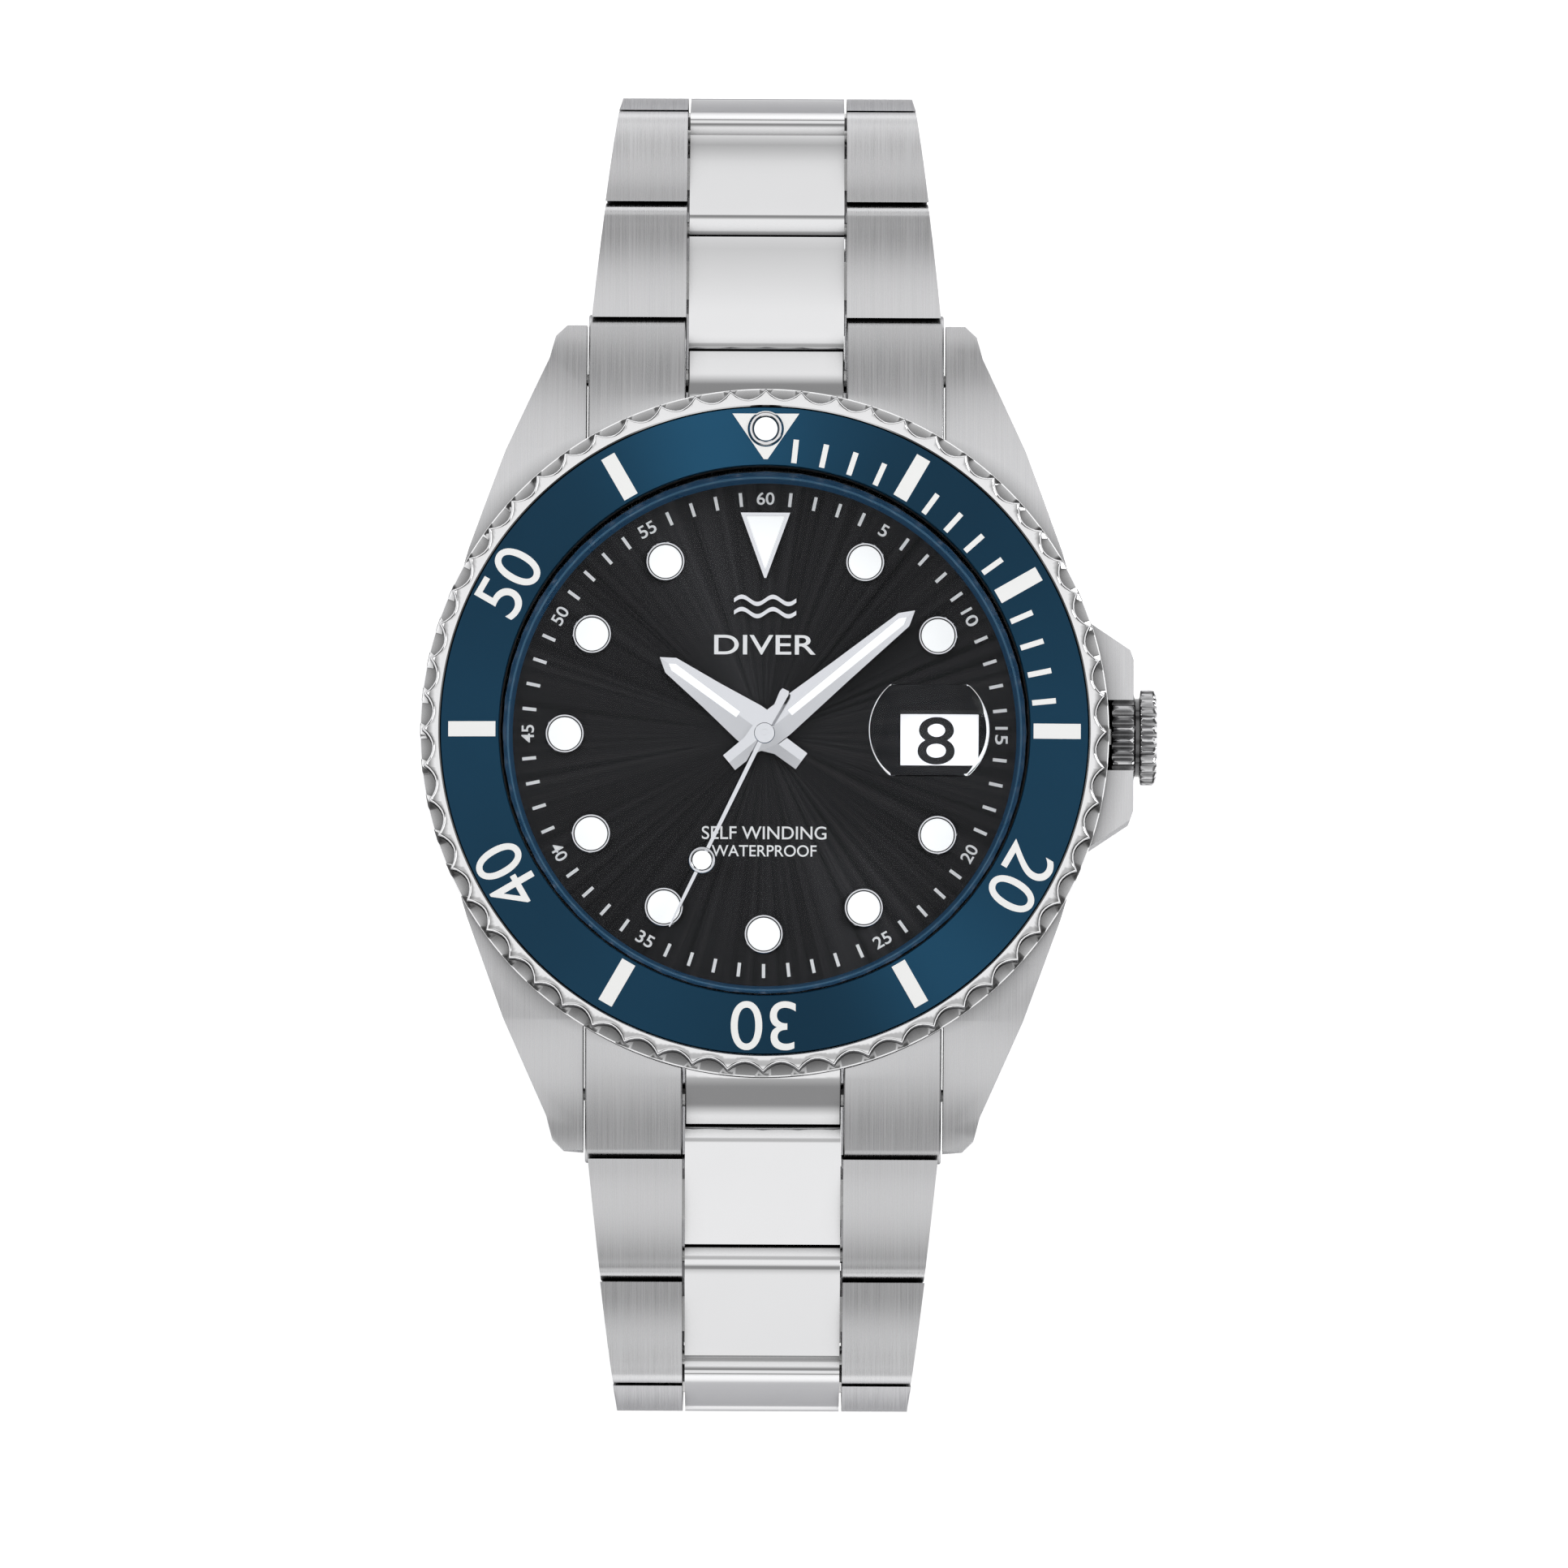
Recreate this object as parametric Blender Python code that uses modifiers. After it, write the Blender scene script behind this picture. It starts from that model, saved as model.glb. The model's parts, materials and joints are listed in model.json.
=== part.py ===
"""A dive watch: steel case, turning bezel, self-winding movement and a bracelet with a fold-over clasp.

The scene is in metres with +Z up. The watch stands dial up on its clasp: the dial faces +Z, twelve
o'clock points to +Y and the crown to +X. The origin lies under the hands, on the surface below the
clasp. Heights of the head are counted from the bottom of the case back, which HEAD_BASE lifts.
"""

import math

import bmesh
import bpy
from mathutils import Matrix, Vector

MM = 0.001
MERGE = 0.01 * MM
LARGE_STEPS = 48
SMALL_STEPS = 24
WHEEL_STEPS = 16
TINY_STEPS = 12

# Head, heights above the bottom of the case back
HEAD_BASE = 33.0 * MM
CASE_RADIUS = 20.6 * MM
CASE_TOP = 7.6 * MM
LUG_HALF_GAP = 11.0 * MM
LUG_TIP_Y = 25.4 * MM
BEZEL_PEAK = 20.84 * MM
BEZEL_VALLEY = 20.3 * MM
BEZEL_FLANGE = 21.0 * MM
BEZEL_TOP = 11.0 * MM
BEZEL_SCALLOPS = 60
CROWN_AXIS_Z = 5.0 * MM
CROWN_SEAT_X = 20.9 * MM
CRYSTAL_TOP = 11.4 * MM
DATE_X = 10.5 * MM
PEARL_Y = 18.36 * MM

# Hands at rest, clockwise from twelve
HOUR_ANGLE = math.radians(306.1)
MINUTE_ANGLE = math.radians(50.4)
SECOND_ANGLE = math.radians(205.9)

# Going train: each place is a distance from the centre and an angle from three o'clock
BARREL_PLACE = (5.6 * MM, 60)
THIRD_PLACE = (2.7 * MM, 200)
ESCAPE_PLACE = (2.6 * MM, 320)
BALANCE_PLACE = (8.2 * MM, 310)
PALLET_REACH = 2.4 * MM

# Bracelet: pivots follow one another at LINK_PITCH, each link dipping by its angle in LINK_DIPS
FIRST_PIVOT = (24.4 * MM, 2.2 * MM)
LINK_PITCH = 7.6 * MM
LINK_DIPS = (20, 36, 78, 106, 130, 152, 172)
LINK_RADIUS = 1.65 * MM
SEAM_RADIUS = 1.9 * MM
CENTRE_HALF = 4.8 * MM
ARM_INNER = 4.9 * MM
FIRST_HALF_WIDTH = 10.8 * MM
LAST_HALF_WIDTH = 9.0 * MM
WIDTH_LOSS = 0.1
PIN_RADIUS = 0.5 * MM
BORE_RADIUS = 0.58 * MM
SPRING_BAR_YZ = (21.9 * MM, 3.6 * MM)
BAR_RADIUS = 0.72 * MM

# Clasp, heights above the surface that the watch stands on
CLASP_HALF_WIDTH = 9.0 * MM
COVER_WALL = 0.8 * MM
BLADE_PIVOT = (-12.8 * MM, 2.2 * MM)
COVER_PIVOT = (12.6 * MM, 1.6 * MM)

STEEL = ("steel", (0.62, 0.62, 0.63), 0.28, 1.0)
POLISHED = ("polished_steel", (0.72, 0.72, 0.73), 0.08, 1.0)
BRASS = ("brass", (0.71, 0.55, 0.28), 0.3, 1.0)
NAVY = ("navy_insert", (0.02, 0.07, 0.13), 0.25, 0.3)
BLACK = ("black_dial", (0.01, 0.01, 0.012), 0.35, 0.2)
WHITE = ("white_print", (0.85, 0.86, 0.84), 0.5, 0.0)
GLASS = ("sapphire", (0.95, 0.97, 1.0), 0.02, 0.0)
RUBBER = ("gasket_rubber", (0.02, 0.02, 0.02), 0.7, 0.0)


def mm(*points):
    """Points given in millimetres, as metres."""
    return [tuple(value * MM for value in point) for point in points]


def polar(radius, degrees):
    return radius * math.cos(math.radians(degrees)), radius * math.sin(math.radians(degrees))


def arc(centre, radius, first, last, count):
    """Points along an arc, from one angle to another in degrees, both ends included."""
    angles = [first + (last - first) * i / (count - 1) for i in range(count)]
    return [(centre[0] + x, centre[1] + y) for x, y in (polar(radius, angle) for angle in angles)]


def circle(radius, count, centre=(0.0, 0.0)):
    return arc(centre, radius, 0, 360 - 360 / count, count)


def new_collection(name):
    collection = bpy.data.collections.new(name)
    bpy.context.scene.collection.children.link(collection)
    return collection


def material_of(finish):
    name, colour, roughness, metallic = finish
    material = bpy.data.materials.get(name)
    if material is None:
        material = bpy.data.materials.new(name)
        material.use_nodes = True
        shader = material.node_tree.nodes["Principled BSDF"]
        shader.inputs["Base Color"].default_value = (*colour, 1.0)
        shader.inputs["Roughness"].default_value = roughness
        shader.inputs["Metallic"].default_value = metallic
    return material


def add_object(name, data):
    obj = bpy.data.objects.new(name, data)
    WATCH.objects.link(obj)
    return obj


def evaluated_mesh(obj):
    """The object's shape with its modifiers applied, as a welded mesh."""
    bpy.context.view_layer.update()
    graph = bpy.context.evaluated_depsgraph_get()
    mesh = bpy.data.meshes.new_from_object(obj.evaluated_get(graph))
    work = bmesh.new()
    work.from_mesh(mesh)
    bmesh.ops.remove_doubles(work, verts=work.verts, dist=MERGE / 10)
    bmesh.ops.recalc_face_normals(work, faces=work.faces)
    work.to_mesh(mesh)
    work.free()
    return mesh


def turned(name, profile, steps=LARGE_STEPS):
    """A shape turned about Z from (radius, height) points that run down its outer side.

    A profile that starts on the axis stays open there; any other closes into a ring.
    """
    mesh = bpy.data.meshes.new(name)
    edges = [(i, i + 1) for i in range(len(profile) - 1)]
    if profile[0][0] > 0:
        edges.append((len(profile) - 1, 0))
    mesh.from_pydata([(radius, 0.0, height) for radius, height in profile], edges, [])
    obj = add_object(name, mesh)
    screw = obj.modifiers.new("turn", "SCREW")
    screw.steps = steps
    screw.render_steps = steps
    screw.use_merge_vertices = True
    screw.merge_threshold = MERGE
    return obj


def plate(name, outline, low, high, holes=()):
    """A flat outline in X and Y, with holes, made solid from one height to another."""
    curve = bpy.data.curves.new(name, "CURVE")
    curve.dimensions = "2D"
    curve.fill_mode = "BOTH"
    curve.extrude = (high - low) / 2
    for loop in (outline, *holes):
        spline = curve.splines.new("POLY")
        spline.points.add(len(loop) - 1)
        for point, (x, y) in zip(spline.points, loop):
            point.co = (x, y, 0.0, 1.0)
        spline.use_cyclic_u = True
    source = add_object(name, curve)
    mesh = evaluated_mesh(source)
    bpy.data.objects.remove(source, do_unlink=True)
    mesh.transform(Matrix.Translation((0, 0, (high + low) / 2)))
    return add_object(name, mesh)


def cross_plate(name, outline, low, high, holes=()):
    """A flat outline in Y and Z, made solid from one X to another."""
    obj = plate(name, outline, low, high, holes)
    obj.data.transform(Matrix(((0, 0, 1, 0), (1, 0, 0, 0), (0, 1, 0, 0), (0, 0, 0, 1))))
    return obj


def rod(name, radius, start, end, segments=TINY_STEPS):
    """A round bar between two points."""
    start, end = Vector(start), Vector(end)
    turn = Vector((0, 0, 1)).rotation_difference(end - start).to_matrix().to_4x4()
    work = bmesh.new()
    bmesh.ops.create_cone(
        work,
        cap_ends=True,
        segments=segments,
        radius1=radius,
        radius2=radius,
        depth=(end - start).length,
        matrix=Matrix.Translation((start + end) / 2) @ turn,
    )
    mesh = bpy.data.meshes.new(name)
    work.to_mesh(mesh)
    work.free()
    return add_object(name, mesh)


def block(name, low, high):
    """A box between two corners."""
    low, high = Vector(low), Vector(high)
    work = bmesh.new()
    scale = Matrix.Diagonal((*(high - low), 1.0))
    bmesh.ops.create_cube(work, size=1.0, matrix=Matrix.Translation((low + high) / 2) @ scale)
    mesh = bpy.data.meshes.new(name)
    work.to_mesh(mesh)
    work.free()
    return add_object(name, mesh)


def ring_loft(name, loops):
    """A ring-shaped solid through closed loops of equal length, the last joined to the first."""
    count = len(loops[0])
    points = [point for loop in loops for point in loop]
    faces = []
    for i in range(len(loops)):
        after = (i + 1) % len(loops)
        for j in range(count):
            k = (j + 1) % count
            faces.append((i * count + j, i * count + k, after * count + k, after * count + j))
    mesh = bpy.data.meshes.new(name)
    mesh.from_pydata(points, [], faces)
    return add_object(name, mesh)


def combine(target, operation, *others):
    """Joins or cuts the target with helpers made in its own frame."""
    for other in others:
        modifier = target.modifiers.new(other.name, "BOOLEAN")
        modifier.operation = operation
        modifier.object = other
        modifier.solver = "EXACT"
        WATCH.objects.unlink(other)
        CUTTERS.objects.link(other)
        other.hide_render = True
        other.display_type = "WIRE"
        other.parent = target
    return target


def bake(obj):
    """Replaces an object and its helpers by one plain mesh."""
    name = obj.name
    mesh = evaluated_mesh(obj)
    for helper in list(obj.children):
        bpy.data.objects.remove(helper, do_unlink=True)
    bpy.data.objects.remove(obj, do_unlink=True)
    mesh.name = name
    return mesh


def finish(obj, finish_name, location=(0, 0, 0), parent=None):
    """Gives a piece its material and its place."""
    material = material_of(finish_name)
    obj.data.materials.clear()
    obj.data.materials.append(material)
    obj.location = location
    obj.parent = parent
    return obj


def head_part(obj, finish_name, location=(0, 0, 0)):
    return finish(obj, finish_name, location, HEAD)


# ---------------------------------------------------------------- case


def lug_quarter():
    """The plan outline of one lug, from its flank to its inner corner."""
    inner_y = math.sqrt(CASE_RADIUS**2 - LUG_HALF_GAP**2)
    flank = mm((19.3, 7.2), (18.1, 11.25), (15.9, 17.3), (13.26, 23.2))
    tip = mm((12.9, 24.6), (12.2, 25.3)) + [(LUG_HALF_GAP, LUG_TIP_Y)]
    return flank + tip + [(LUG_HALF_GAP, inner_y)]


def case_plan():
    """The case seen from above: four lugs, two crown guards and the flanks between them."""
    guard = mm((22.3, 5.19), (22.5, 4.6))
    quarter = lug_quarter()
    upper_right = guard[::-1] + quarter
    gap_angle = math.degrees(math.acos(LUG_HALF_GAP / CASE_RADIUS))
    across = arc((0, 0), CASE_RADIUS, gap_angle, 180 - gap_angle, 12)[1:-1]
    upper_left = [(-x, y) for x, y in quarter[::-1]]
    flank_angle = math.degrees(math.atan2(quarter[0][1], quarter[0][0]))
    side = arc((0, 0), CASE_RADIUS, 180 - flank_angle, 180, 6)[1:]
    upper = upper_right + across + upper_left + side
    return upper + [(x, -y) for x, y in upper[-2::-1]]


def lug_side():
    """The case seen from the crown side: the lugs slope down to their tips."""
    half = mm((14.0, 7.6), (17.5, 6.95), (21.0, 5.8), (24.0, 4.4), (25.3, 3.5), (25.4, 1.2))
    half += mm((24.6, 0.35), (21.5, 0.35), (18.2, 1.5))
    return half + [(-y, z) for y, z in half[::-1]]


def make_mid_case():
    case = plate("mid_case", case_plan(), 0.0, CASE_TOP)
    sides = cross_plate("lug_slopes", lug_side(), -24 * MM, 24 * MM)
    combine(case, "INTERSECT", sides)
    neck = turned("case_neck", mm((17.6, 9.9), (17.6, 7.2), (15.95, 7.2), (15.95, 9.9)))
    combine(case, "UNION", neck)
    cavity = mm((0, 11), (16.45, 11), (16.45, 8.9), (15.95, 8.9), (15.95, 8.3), (16.25, 8.3), (16.25, 0), (0, 0))
    seat_start = (CROWN_SEAT_X, 0, CROWN_AXIS_Z)
    crown_seat = rod("crown_seat", 3.4 * MM, seat_start, (24 * MM, 0, CROWN_AXIS_Z), SMALL_STEPS)
    tube_hole = rod("tube_hole", 1.0 * MM, (15 * MM, 0, CROWN_AXIS_Z), (23 * MM, 0, CROWN_AXIS_Z))
    combine(case, "DIFFERENCE", turned("case_cavity", cavity), crown_seat, tube_hole)
    bar_y, bar_z = SPRING_BAR_YZ
    for side in (-1, 1):
        start, end = (-12.1 * MM, side * bar_y, bar_z), (12.1 * MM, side * bar_y, bar_z)
        combine(case, "DIFFERENCE", rod("lug_hole", 0.45 * MM, start, end))
    head_part(case, STEEL)


def make_case_closures():
    back = mm((0, 0.85), (15.3, 0.85), (15.3, 2.7), (16.05, 2.7), (16.05, 1.2), (17.6, 1.2), (17.6, 0.5), (16.6, 0))
    head_part(turned("case_back", back + [(0.0, 0.0)], SMALL_STEPS), POLISHED)
    gasket = mm((17.2, 1.45), (17.2, 1.25), (16.4, 1.25), (16.4, 1.45))
    head_part(turned("case_back_gasket", gasket, SMALL_STEPS), RUBBER)
    tube = mm((0.95, 21.6), (0.95, 16.6), (0.62, 16.6), (0.62, 21.6))
    crown_tube = turned("crown_tube", tube, TINY_STEPS)
    head_part(crown_tube, STEEL, (0, 0, CROWN_AXIS_Z)).rotation_euler = (0, math.pi / 2, 0)
    seal = mm((16.4, 9.85), (16.4, 8.95), (16.1, 8.95), (16.1, 9.85))
    head_part(turned("crystal_gasket", seal), RUBBER)


def make_crystal():
    disc = mm((0, 11.4), (15.5, 11.4), (16.02, 10.9), (16.02, 8.95), (0, 8.95))
    head_part(turned("crystal", disc), GLASS)
    dome = mm((0, 0.9), (1.3, 0.82), (2.5, 0.6), (3.4, 0.3), (3.66, 0.12), (3.66, 0.0), (0, 0.0))
    lens = turned("date_magnifier", dome, SMALL_STEPS)
    combine(lens, "INTERSECT", block("lens_flats", (-5 * MM, -2.8 * MM, -MM), (5 * MM, 2.8 * MM, 2 * MM)))
    head_part(lens, GLASS, (10.0 * MM, 0, CRYSTAL_TOP + 0.05 * MM))


def coin_loop(peak, valley, height):
    """One level of the coin edge: peaks and valleys by turns."""
    loop = []
    for i in range(2 * BEZEL_SCALLOPS):
        x, y = polar(peak if i % 2 else valley, 90 + 180 * i / BEZEL_SCALLOPS)
        loop.append((x, y, height))
    return loop


def make_bezel():
    levels = mm((17.85, 17.85, 7.95), (19.75, 19.75, 10.15), (17.85, 17.85, 10.15))
    outer = [
        (BEZEL_FLANGE, BEZEL_FLANGE, 7.95 * MM),
        (BEZEL_FLANGE, BEZEL_FLANGE, 8.7 * MM),
        (BEZEL_PEAK, BEZEL_VALLEY, 8.9 * MM),
        (BEZEL_PEAK, BEZEL_VALLEY, 10.6 * MM),
        (20.3 * MM, 20.1 * MM, BEZEL_TOP),
        (19.75 * MM, 19.75 * MM, BEZEL_TOP),
    ]
    loops = [levels[0], *outer, *levels[1:]]
    head_part(ring_loft("bezel_ring", [coin_loop(*level) for level in loops]), POLISHED)
    insert = turned("bezel_insert", mm((19.7, 10.85), (19.7, 10.3), (16.3, 10.45), (16.3, 11.15)))
    pearl_hole = rod("pearl_hole", 1.1 * MM, (0, PEARL_Y, 9 * MM), (0, PEARL_Y, 12 * MM))
    combine(insert, "DIFFERENCE", pearl_hole)
    head_part(insert, NAVY)
    head_part(rod("bezel_pearl", 1.02 * MM, (0, 0, 10.3 * MM), (0, 0, 11.15 * MM)), WHITE, (0, PEARL_Y, 0))
    spring = arc((0, 0), 19.3 * MM, 60, 92, 8) + arc((0, 0), 18.3 * MM, 92, 60, 8)
    head_part(plate("bezel_click_spring", spring, 7.66 * MM, 7.86 * MM), STEEL)


def make_crown():
    profile = mm((0, 24.1), (2.2, 24.1), (2.75, 23.95), (2.93, 23.7), (2.93, 23.1), (2.41, 23.0), (2.41, 22.6))
    profile += mm((3.1, 22.55), (3.15, 22.4), (3.15, 21.3), (3.0, 21.15), (1.3, 21.15), (1.3, 22.0))
    profile += mm((0.5, 22.0), (0.5, 22.4), (0, 22.4))
    crown = turned("crown", profile, SMALL_STEPS)
    head_part(crown, POLISHED, (0, 0, CROWN_AXIS_Z)).rotation_euler = (0, math.pi / 2, 0)
    stem = rod("winding_stem", 0.4 * MM, (7.2 * MM, 0, 0), (22.3 * MM, 0, 0))
    head_part(stem, STEEL, (0, 0, CROWN_AXIS_Z))


# ---------------------------------------------------------------- dial and hands


def make_dial():
    window_x, window_y = 1.65 * MM, 1.15 * MM
    window = [(DATE_X + a * window_x, b * window_y) for a, b in ((-1, -1), (1, -1), (1, 1), (-1, 1))]
    holes = (circle(0.95 * MM, TINY_STEPS), window)
    head_part(plate("dial", circle(16.1 * MM, LARGE_STEPS), 6.05 * MM, 6.45 * MM, holes), BLACK)
    flange = mm((16.15, 8.25), (16.15, 6.5), (15.4, 6.5), (15.9, 8.25))
    head_part(turned("dial_flange", flange), NAVY)
    disc = mm((13.5, 5.75), (13.5, 5.55), (7.5, 5.55), (7.5, 5.75))
    head_part(turned("date_disc", disc, SMALL_STEPS), WHITE)


def baton(half_outline):
    """A hand's outline from the right half of it, tip first."""
    return half_outline + [(-x, y) for x, y in half_outline[::-1] if x > 0]


def make_hand(name, outline, low, high, bore, angle):
    hand = plate(name, baton(outline), low, high, (circle(bore, TINY_STEPS),))
    head_part(hand, POLISHED).rotation_euler = (0, 0, -angle)


def make_hands():
    hour = mm((0, 7.93), (0.57, 7.1), (1.3, 1.2), (1.3, -0.6), (0.62, -1.2), (0.62, -2.8))
    make_hand("hour_hand", hour, 7.0 * MM, 7.2 * MM, 0.85 * MM, HOUR_ANGLE)
    minute = mm((0, 11.87), (0.52, 11.0), (1.05, 1.0), (1.0, -0.6), (0.6, -1.1), (0.6, -2.8))
    make_hand("minute_hand", minute, 7.45 * MM, 7.65 * MM, 0.56 * MM, MINUTE_ANGLE)
    needle = plate("seconds_hand", baton(mm((0.06, 13.16), (0.12, 0.5), (0.27, -2.94))), 8.05 * MM, 8.2 * MM)
    hub = rod("seconds_hub", 0.64 * MM, (0, 0, 8.03 * MM), (0, 0, 8.3 * MM))
    lume_y = 8.64 * MM
    spot = rod("seconds_spot", 0.82 * MM, (0, lume_y, 8.04 * MM), (0, lume_y, 8.22 * MM))
    combine(needle, "UNION", hub, spot)
    head_part(needle, POLISHED).rotation_euler = (0, 0, -SECOND_ANGLE)


# ---------------------------------------------------------------- movement


def wheel(name, profile, place=(0.0, 0.0), finish_name=BRASS, steps=WHEEL_STEPS):
    """A turned wheel or pinion on its own axis, without its teeth."""
    head_part(turned(name, profile, steps), finish_name, (*polar(*place), 0))


def make_train():
    hour = mm((0.8, 7.15), (0.8, 5.5), (3.0, 5.5), (3.0, 5.36), (0.58, 5.36), (0.58, 7.15))
    wheel("hour_wheel", hour)
    center = mm((0.52, 7.6), (0.52, 4.18), (0.56, 4.18), (0.56, 3.92), (0.52, 3.92), (0.52, 3.85))
    center += mm((2.36, 3.85), (2.36, 3.7), (0.32, 3.7), (0.32, 7.6))
    wheel("center_wheel", center)
    fourth = mm((0, 8.0), (0.25, 8.0), (0.25, 3.5), (2.36, 3.5), (2.36, 3.35), (0.25, 3.35), (0.25, 3.15))
    fourth += mm((0.28, 3.15), (0.28, 2.9), (0.2, 2.9), (0.2, 2.75), (0, 2.75))
    wheel("fourth_wheel", fourth)
    third = mm((0, 4.25), (0.2, 4.25), (0.2, 3.9), (0.26, 3.9), (0.26, 3.62), (0.2, 3.62), (0.2, 3.1))
    third += mm((2.34, 3.1), (2.34, 2.95), (0.2, 2.95), (0.2, 2.75), (0, 2.75))
    wheel("third_wheel", third, THIRD_PLACE)
    escape = mm((0, 4.25), (0.12, 4.25), (0.12, 3.55), (0.16, 3.55), (0.16, 3.3), (0.12, 3.3), (0.12, 2.88))
    escape += mm((1.56, 2.88), (1.56, 2.78), (0, 2.78))
    wheel("escape_wheel", escape, ESCAPE_PLACE, STEEL)
    barrel = mm((0, 4.25), (0.6, 4.25), (0.6, 4.15), (4.96, 4.15), (4.96, 3.95), (2.9, 3.95), (2.9, 2.85))
    barrel += mm((0.6, 2.85), (0.6, 2.75), (0, 2.75))
    wheel("barrel", barrel, BARREL_PLACE)


def make_escapement():
    escape = Vector(polar(*ESCAPE_PLACE))
    balance = Vector(polar(*BALANCE_PLACE))
    along = (balance - escape).normalized()
    pivot = escape + along * PALLET_REACH
    lever = mm((-0.2, -1.1), (0.15, -1.1), (0.15, -0.15), (2.5, -0.1), (2.5, 0.1), (0.15, 0.15), (0.15, 1.1), (-0.2, 1.1))
    fork = plate("pallet_fork", lever, 2.78 * MM, 2.93 * MM)
    combine(fork, "UNION", rod("pallet_arbor", 0.12 * MM, (0, 0, 2.75 * MM), (0, 0, 3.2 * MM), 8))
    head_part(fork, STEEL, (*pivot, 0)).rotation_euler = (0, 0, math.atan2(along.y, along.x))
    rim = turned("balance_wheel", mm((3.4, 3.55), (3.4, 3.3), (2.9, 3.3), (2.9, 3.55)), SMALL_STEPS)
    spokes = block("balance_spokes", (-3.1 * MM, -0.25 * MM, 3.34 * MM), (3.1 * MM, 0.25 * MM, 3.51 * MM))
    staff = turned("balance_staff", mm((0, 4.2), (0.15, 4.2), (0.15, 2.95), (0.4, 2.95), (0.4, 2.75), (0, 2.75)), 12)
    combine(rim, "UNION", spokes, staff)
    head_part(rim, BRASS, (*balance, 0))
    make_hairspring(balance)


def make_hairspring(balance):
    """A flat spiral between the balance and its cock."""
    turns, steps = 3, 12
    curve = bpy.data.curves.new("hairspring", "CURVE")
    curve.dimensions = "3D"
    curve.bevel_depth = 0.06 * MM
    curve.bevel_resolution = 0
    curve.use_fill_caps = True
    spline = curve.splines.new("POLY")
    spline.points.add(turns * steps)
    for i, point in enumerate(spline.points):
        radius = (0.5 + 1.5 * i / (turns * steps)) * MM
        x, y = polar(radius, 360 * i / steps)
        point.co = (x, y, 3.12 * MM, 1.0)
    source = add_object("hairspring_wire", curve)
    mesh = evaluated_mesh(source)
    bpy.data.objects.remove(source, do_unlink=True)
    head_part(add_object("hairspring", mesh), STEEL, (*balance, 0))


def make_plates():
    stem_slot = rod("stem_slot", 0.6 * MM, (6.5 * MM, 0, CROWN_AXIS_Z), (18 * MM, 0, CROWN_AXIS_Z), 12)
    main = plate("main_plate", circle(13.0 * MM, SMALL_STEPS), 4.3 * MM, 5.3 * MM, (circle(0.62 * MM, TINY_STEPS),))
    combine(main, "DIFFERENCE", stem_slot)
    head_part(main, STEEL)
    ring = mm((16.1, 6.0), (16.1, 2.95), (13.1, 2.95), (13.1, 5.35), (13.8, 5.35), (13.8, 6.0))
    holder = turned("movement_ring", ring, SMALL_STEPS)
    stem_hole = rod("stem_hole", 0.65 * MM, (12 * MM, 0, CROWN_AXIS_Z), (18 * MM, 0, CROWN_AXIS_Z), 12)
    combine(holder, "DIFFERENCE", stem_hole)
    head_part(holder, STEEL)
    bridge = plate("train_bridge", circle(12.6 * MM, SMALL_STEPS), 2.3 * MM, 2.7 * MM)
    for degrees in (70, 150, 230):
        x, y = polar(11.7 * MM, degrees)
        combine(bridge, "UNION", rod("bridge_pillar", 0.8 * MM, (x, y, 2.5 * MM), (x, y, 4.25 * MM), 12))
    x, y = polar(*BALANCE_PLACE)
    combine(bridge, "DIFFERENCE", rod("balance_bay", 5.0 * MM, (x, y, 2 * MM), (x, y, 3 * MM), SMALL_STEPS))
    head_part(bridge, STEEL)
    cock = block("balance_cock", (-1.6 * MM, -1.3 * MM, 2.3 * MM), (4.4 * MM, 1.3 * MM, 2.68 * MM))
    combine(cock, "UNION", block("cock_foot", (3.7 * MM, -1.3 * MM, 2.5 * MM), (4.4 * MM, 1.3 * MM, 4.25 * MM)))
    head_part(cock, STEEL, (x, y, 0)).rotation_euler = (0, 0, math.radians(BALANCE_PLACE[1]))


def make_rotor():
    bearing = mm((0, 2.25), (1.6, 2.25), (1.6, 1.4), (2.3, 1.4), (2.3, 1.05), (0, 1.05))
    head_part(turned("rotor_bearing", bearing, SMALL_STEPS), STEEL)
    profile = mm((12.4, 2.15), (12.4, 1.45), (1.75, 1.45), (1.75, 1.75), (10.4, 1.75), (10.4, 2.15))
    rotor = turned("rotor", profile, SMALL_STEPS)
    away = arc((0, 0), 13.5 * MM, 6, 174, 12) + arc((0, 0), 2.8 * MM, 174, 6, 8)
    combine(rotor, "DIFFERENCE", plate("rotor_half", away, 1.0 * MM, 2.6 * MM))
    head_part(rotor, BRASS)


# ---------------------------------------------------------------- bracelet


def link_half_width(distance):
    """Half the bracelet's width at a distance along it from the first pivot."""
    return max(LAST_HALF_WIDTH, FIRST_HALF_WIDTH - WIDTH_LOSS * distance)


def side_piece(name, outline, side, half_width):
    """A side piece whose outer face follows the bracelet's taper."""
    obj = cross_plate(name, outline, ARM_INNER, LAST_HALF_WIDTH + MM)
    for vertex in obj.data.vertices:
        if vertex.co.x > LAST_HALF_WIDTH:
            vertex.co.x = half_width(vertex.co.y)
    if side < 0:
        obj.data.transform(Matrix.Rotation(math.pi, 4, "Z"))
        obj.data.transform(Matrix.Scale(-1, 4, (0, 1, 0)))
        obj.data.flip_normals()
    return obj


def centre_outline():
    """A centre piece from its round end, about the near pivot, to its hollow end."""
    near = arc((0, 0), LINK_RADIUS, 270, 90, 7)
    hollow = arc((LINK_PITCH, 0), SEAM_RADIUS, 120, 240, 6)
    return near + hollow


def side_outline():
    """A side piece from its hollow end, about the near pivot, to its round end."""
    hollow = arc((0, 0), SEAM_RADIUS, -60, 60, 6)
    far = arc((LINK_PITCH, 0), LINK_RADIUS, 90, -90, 7)
    return hollow + far


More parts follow.
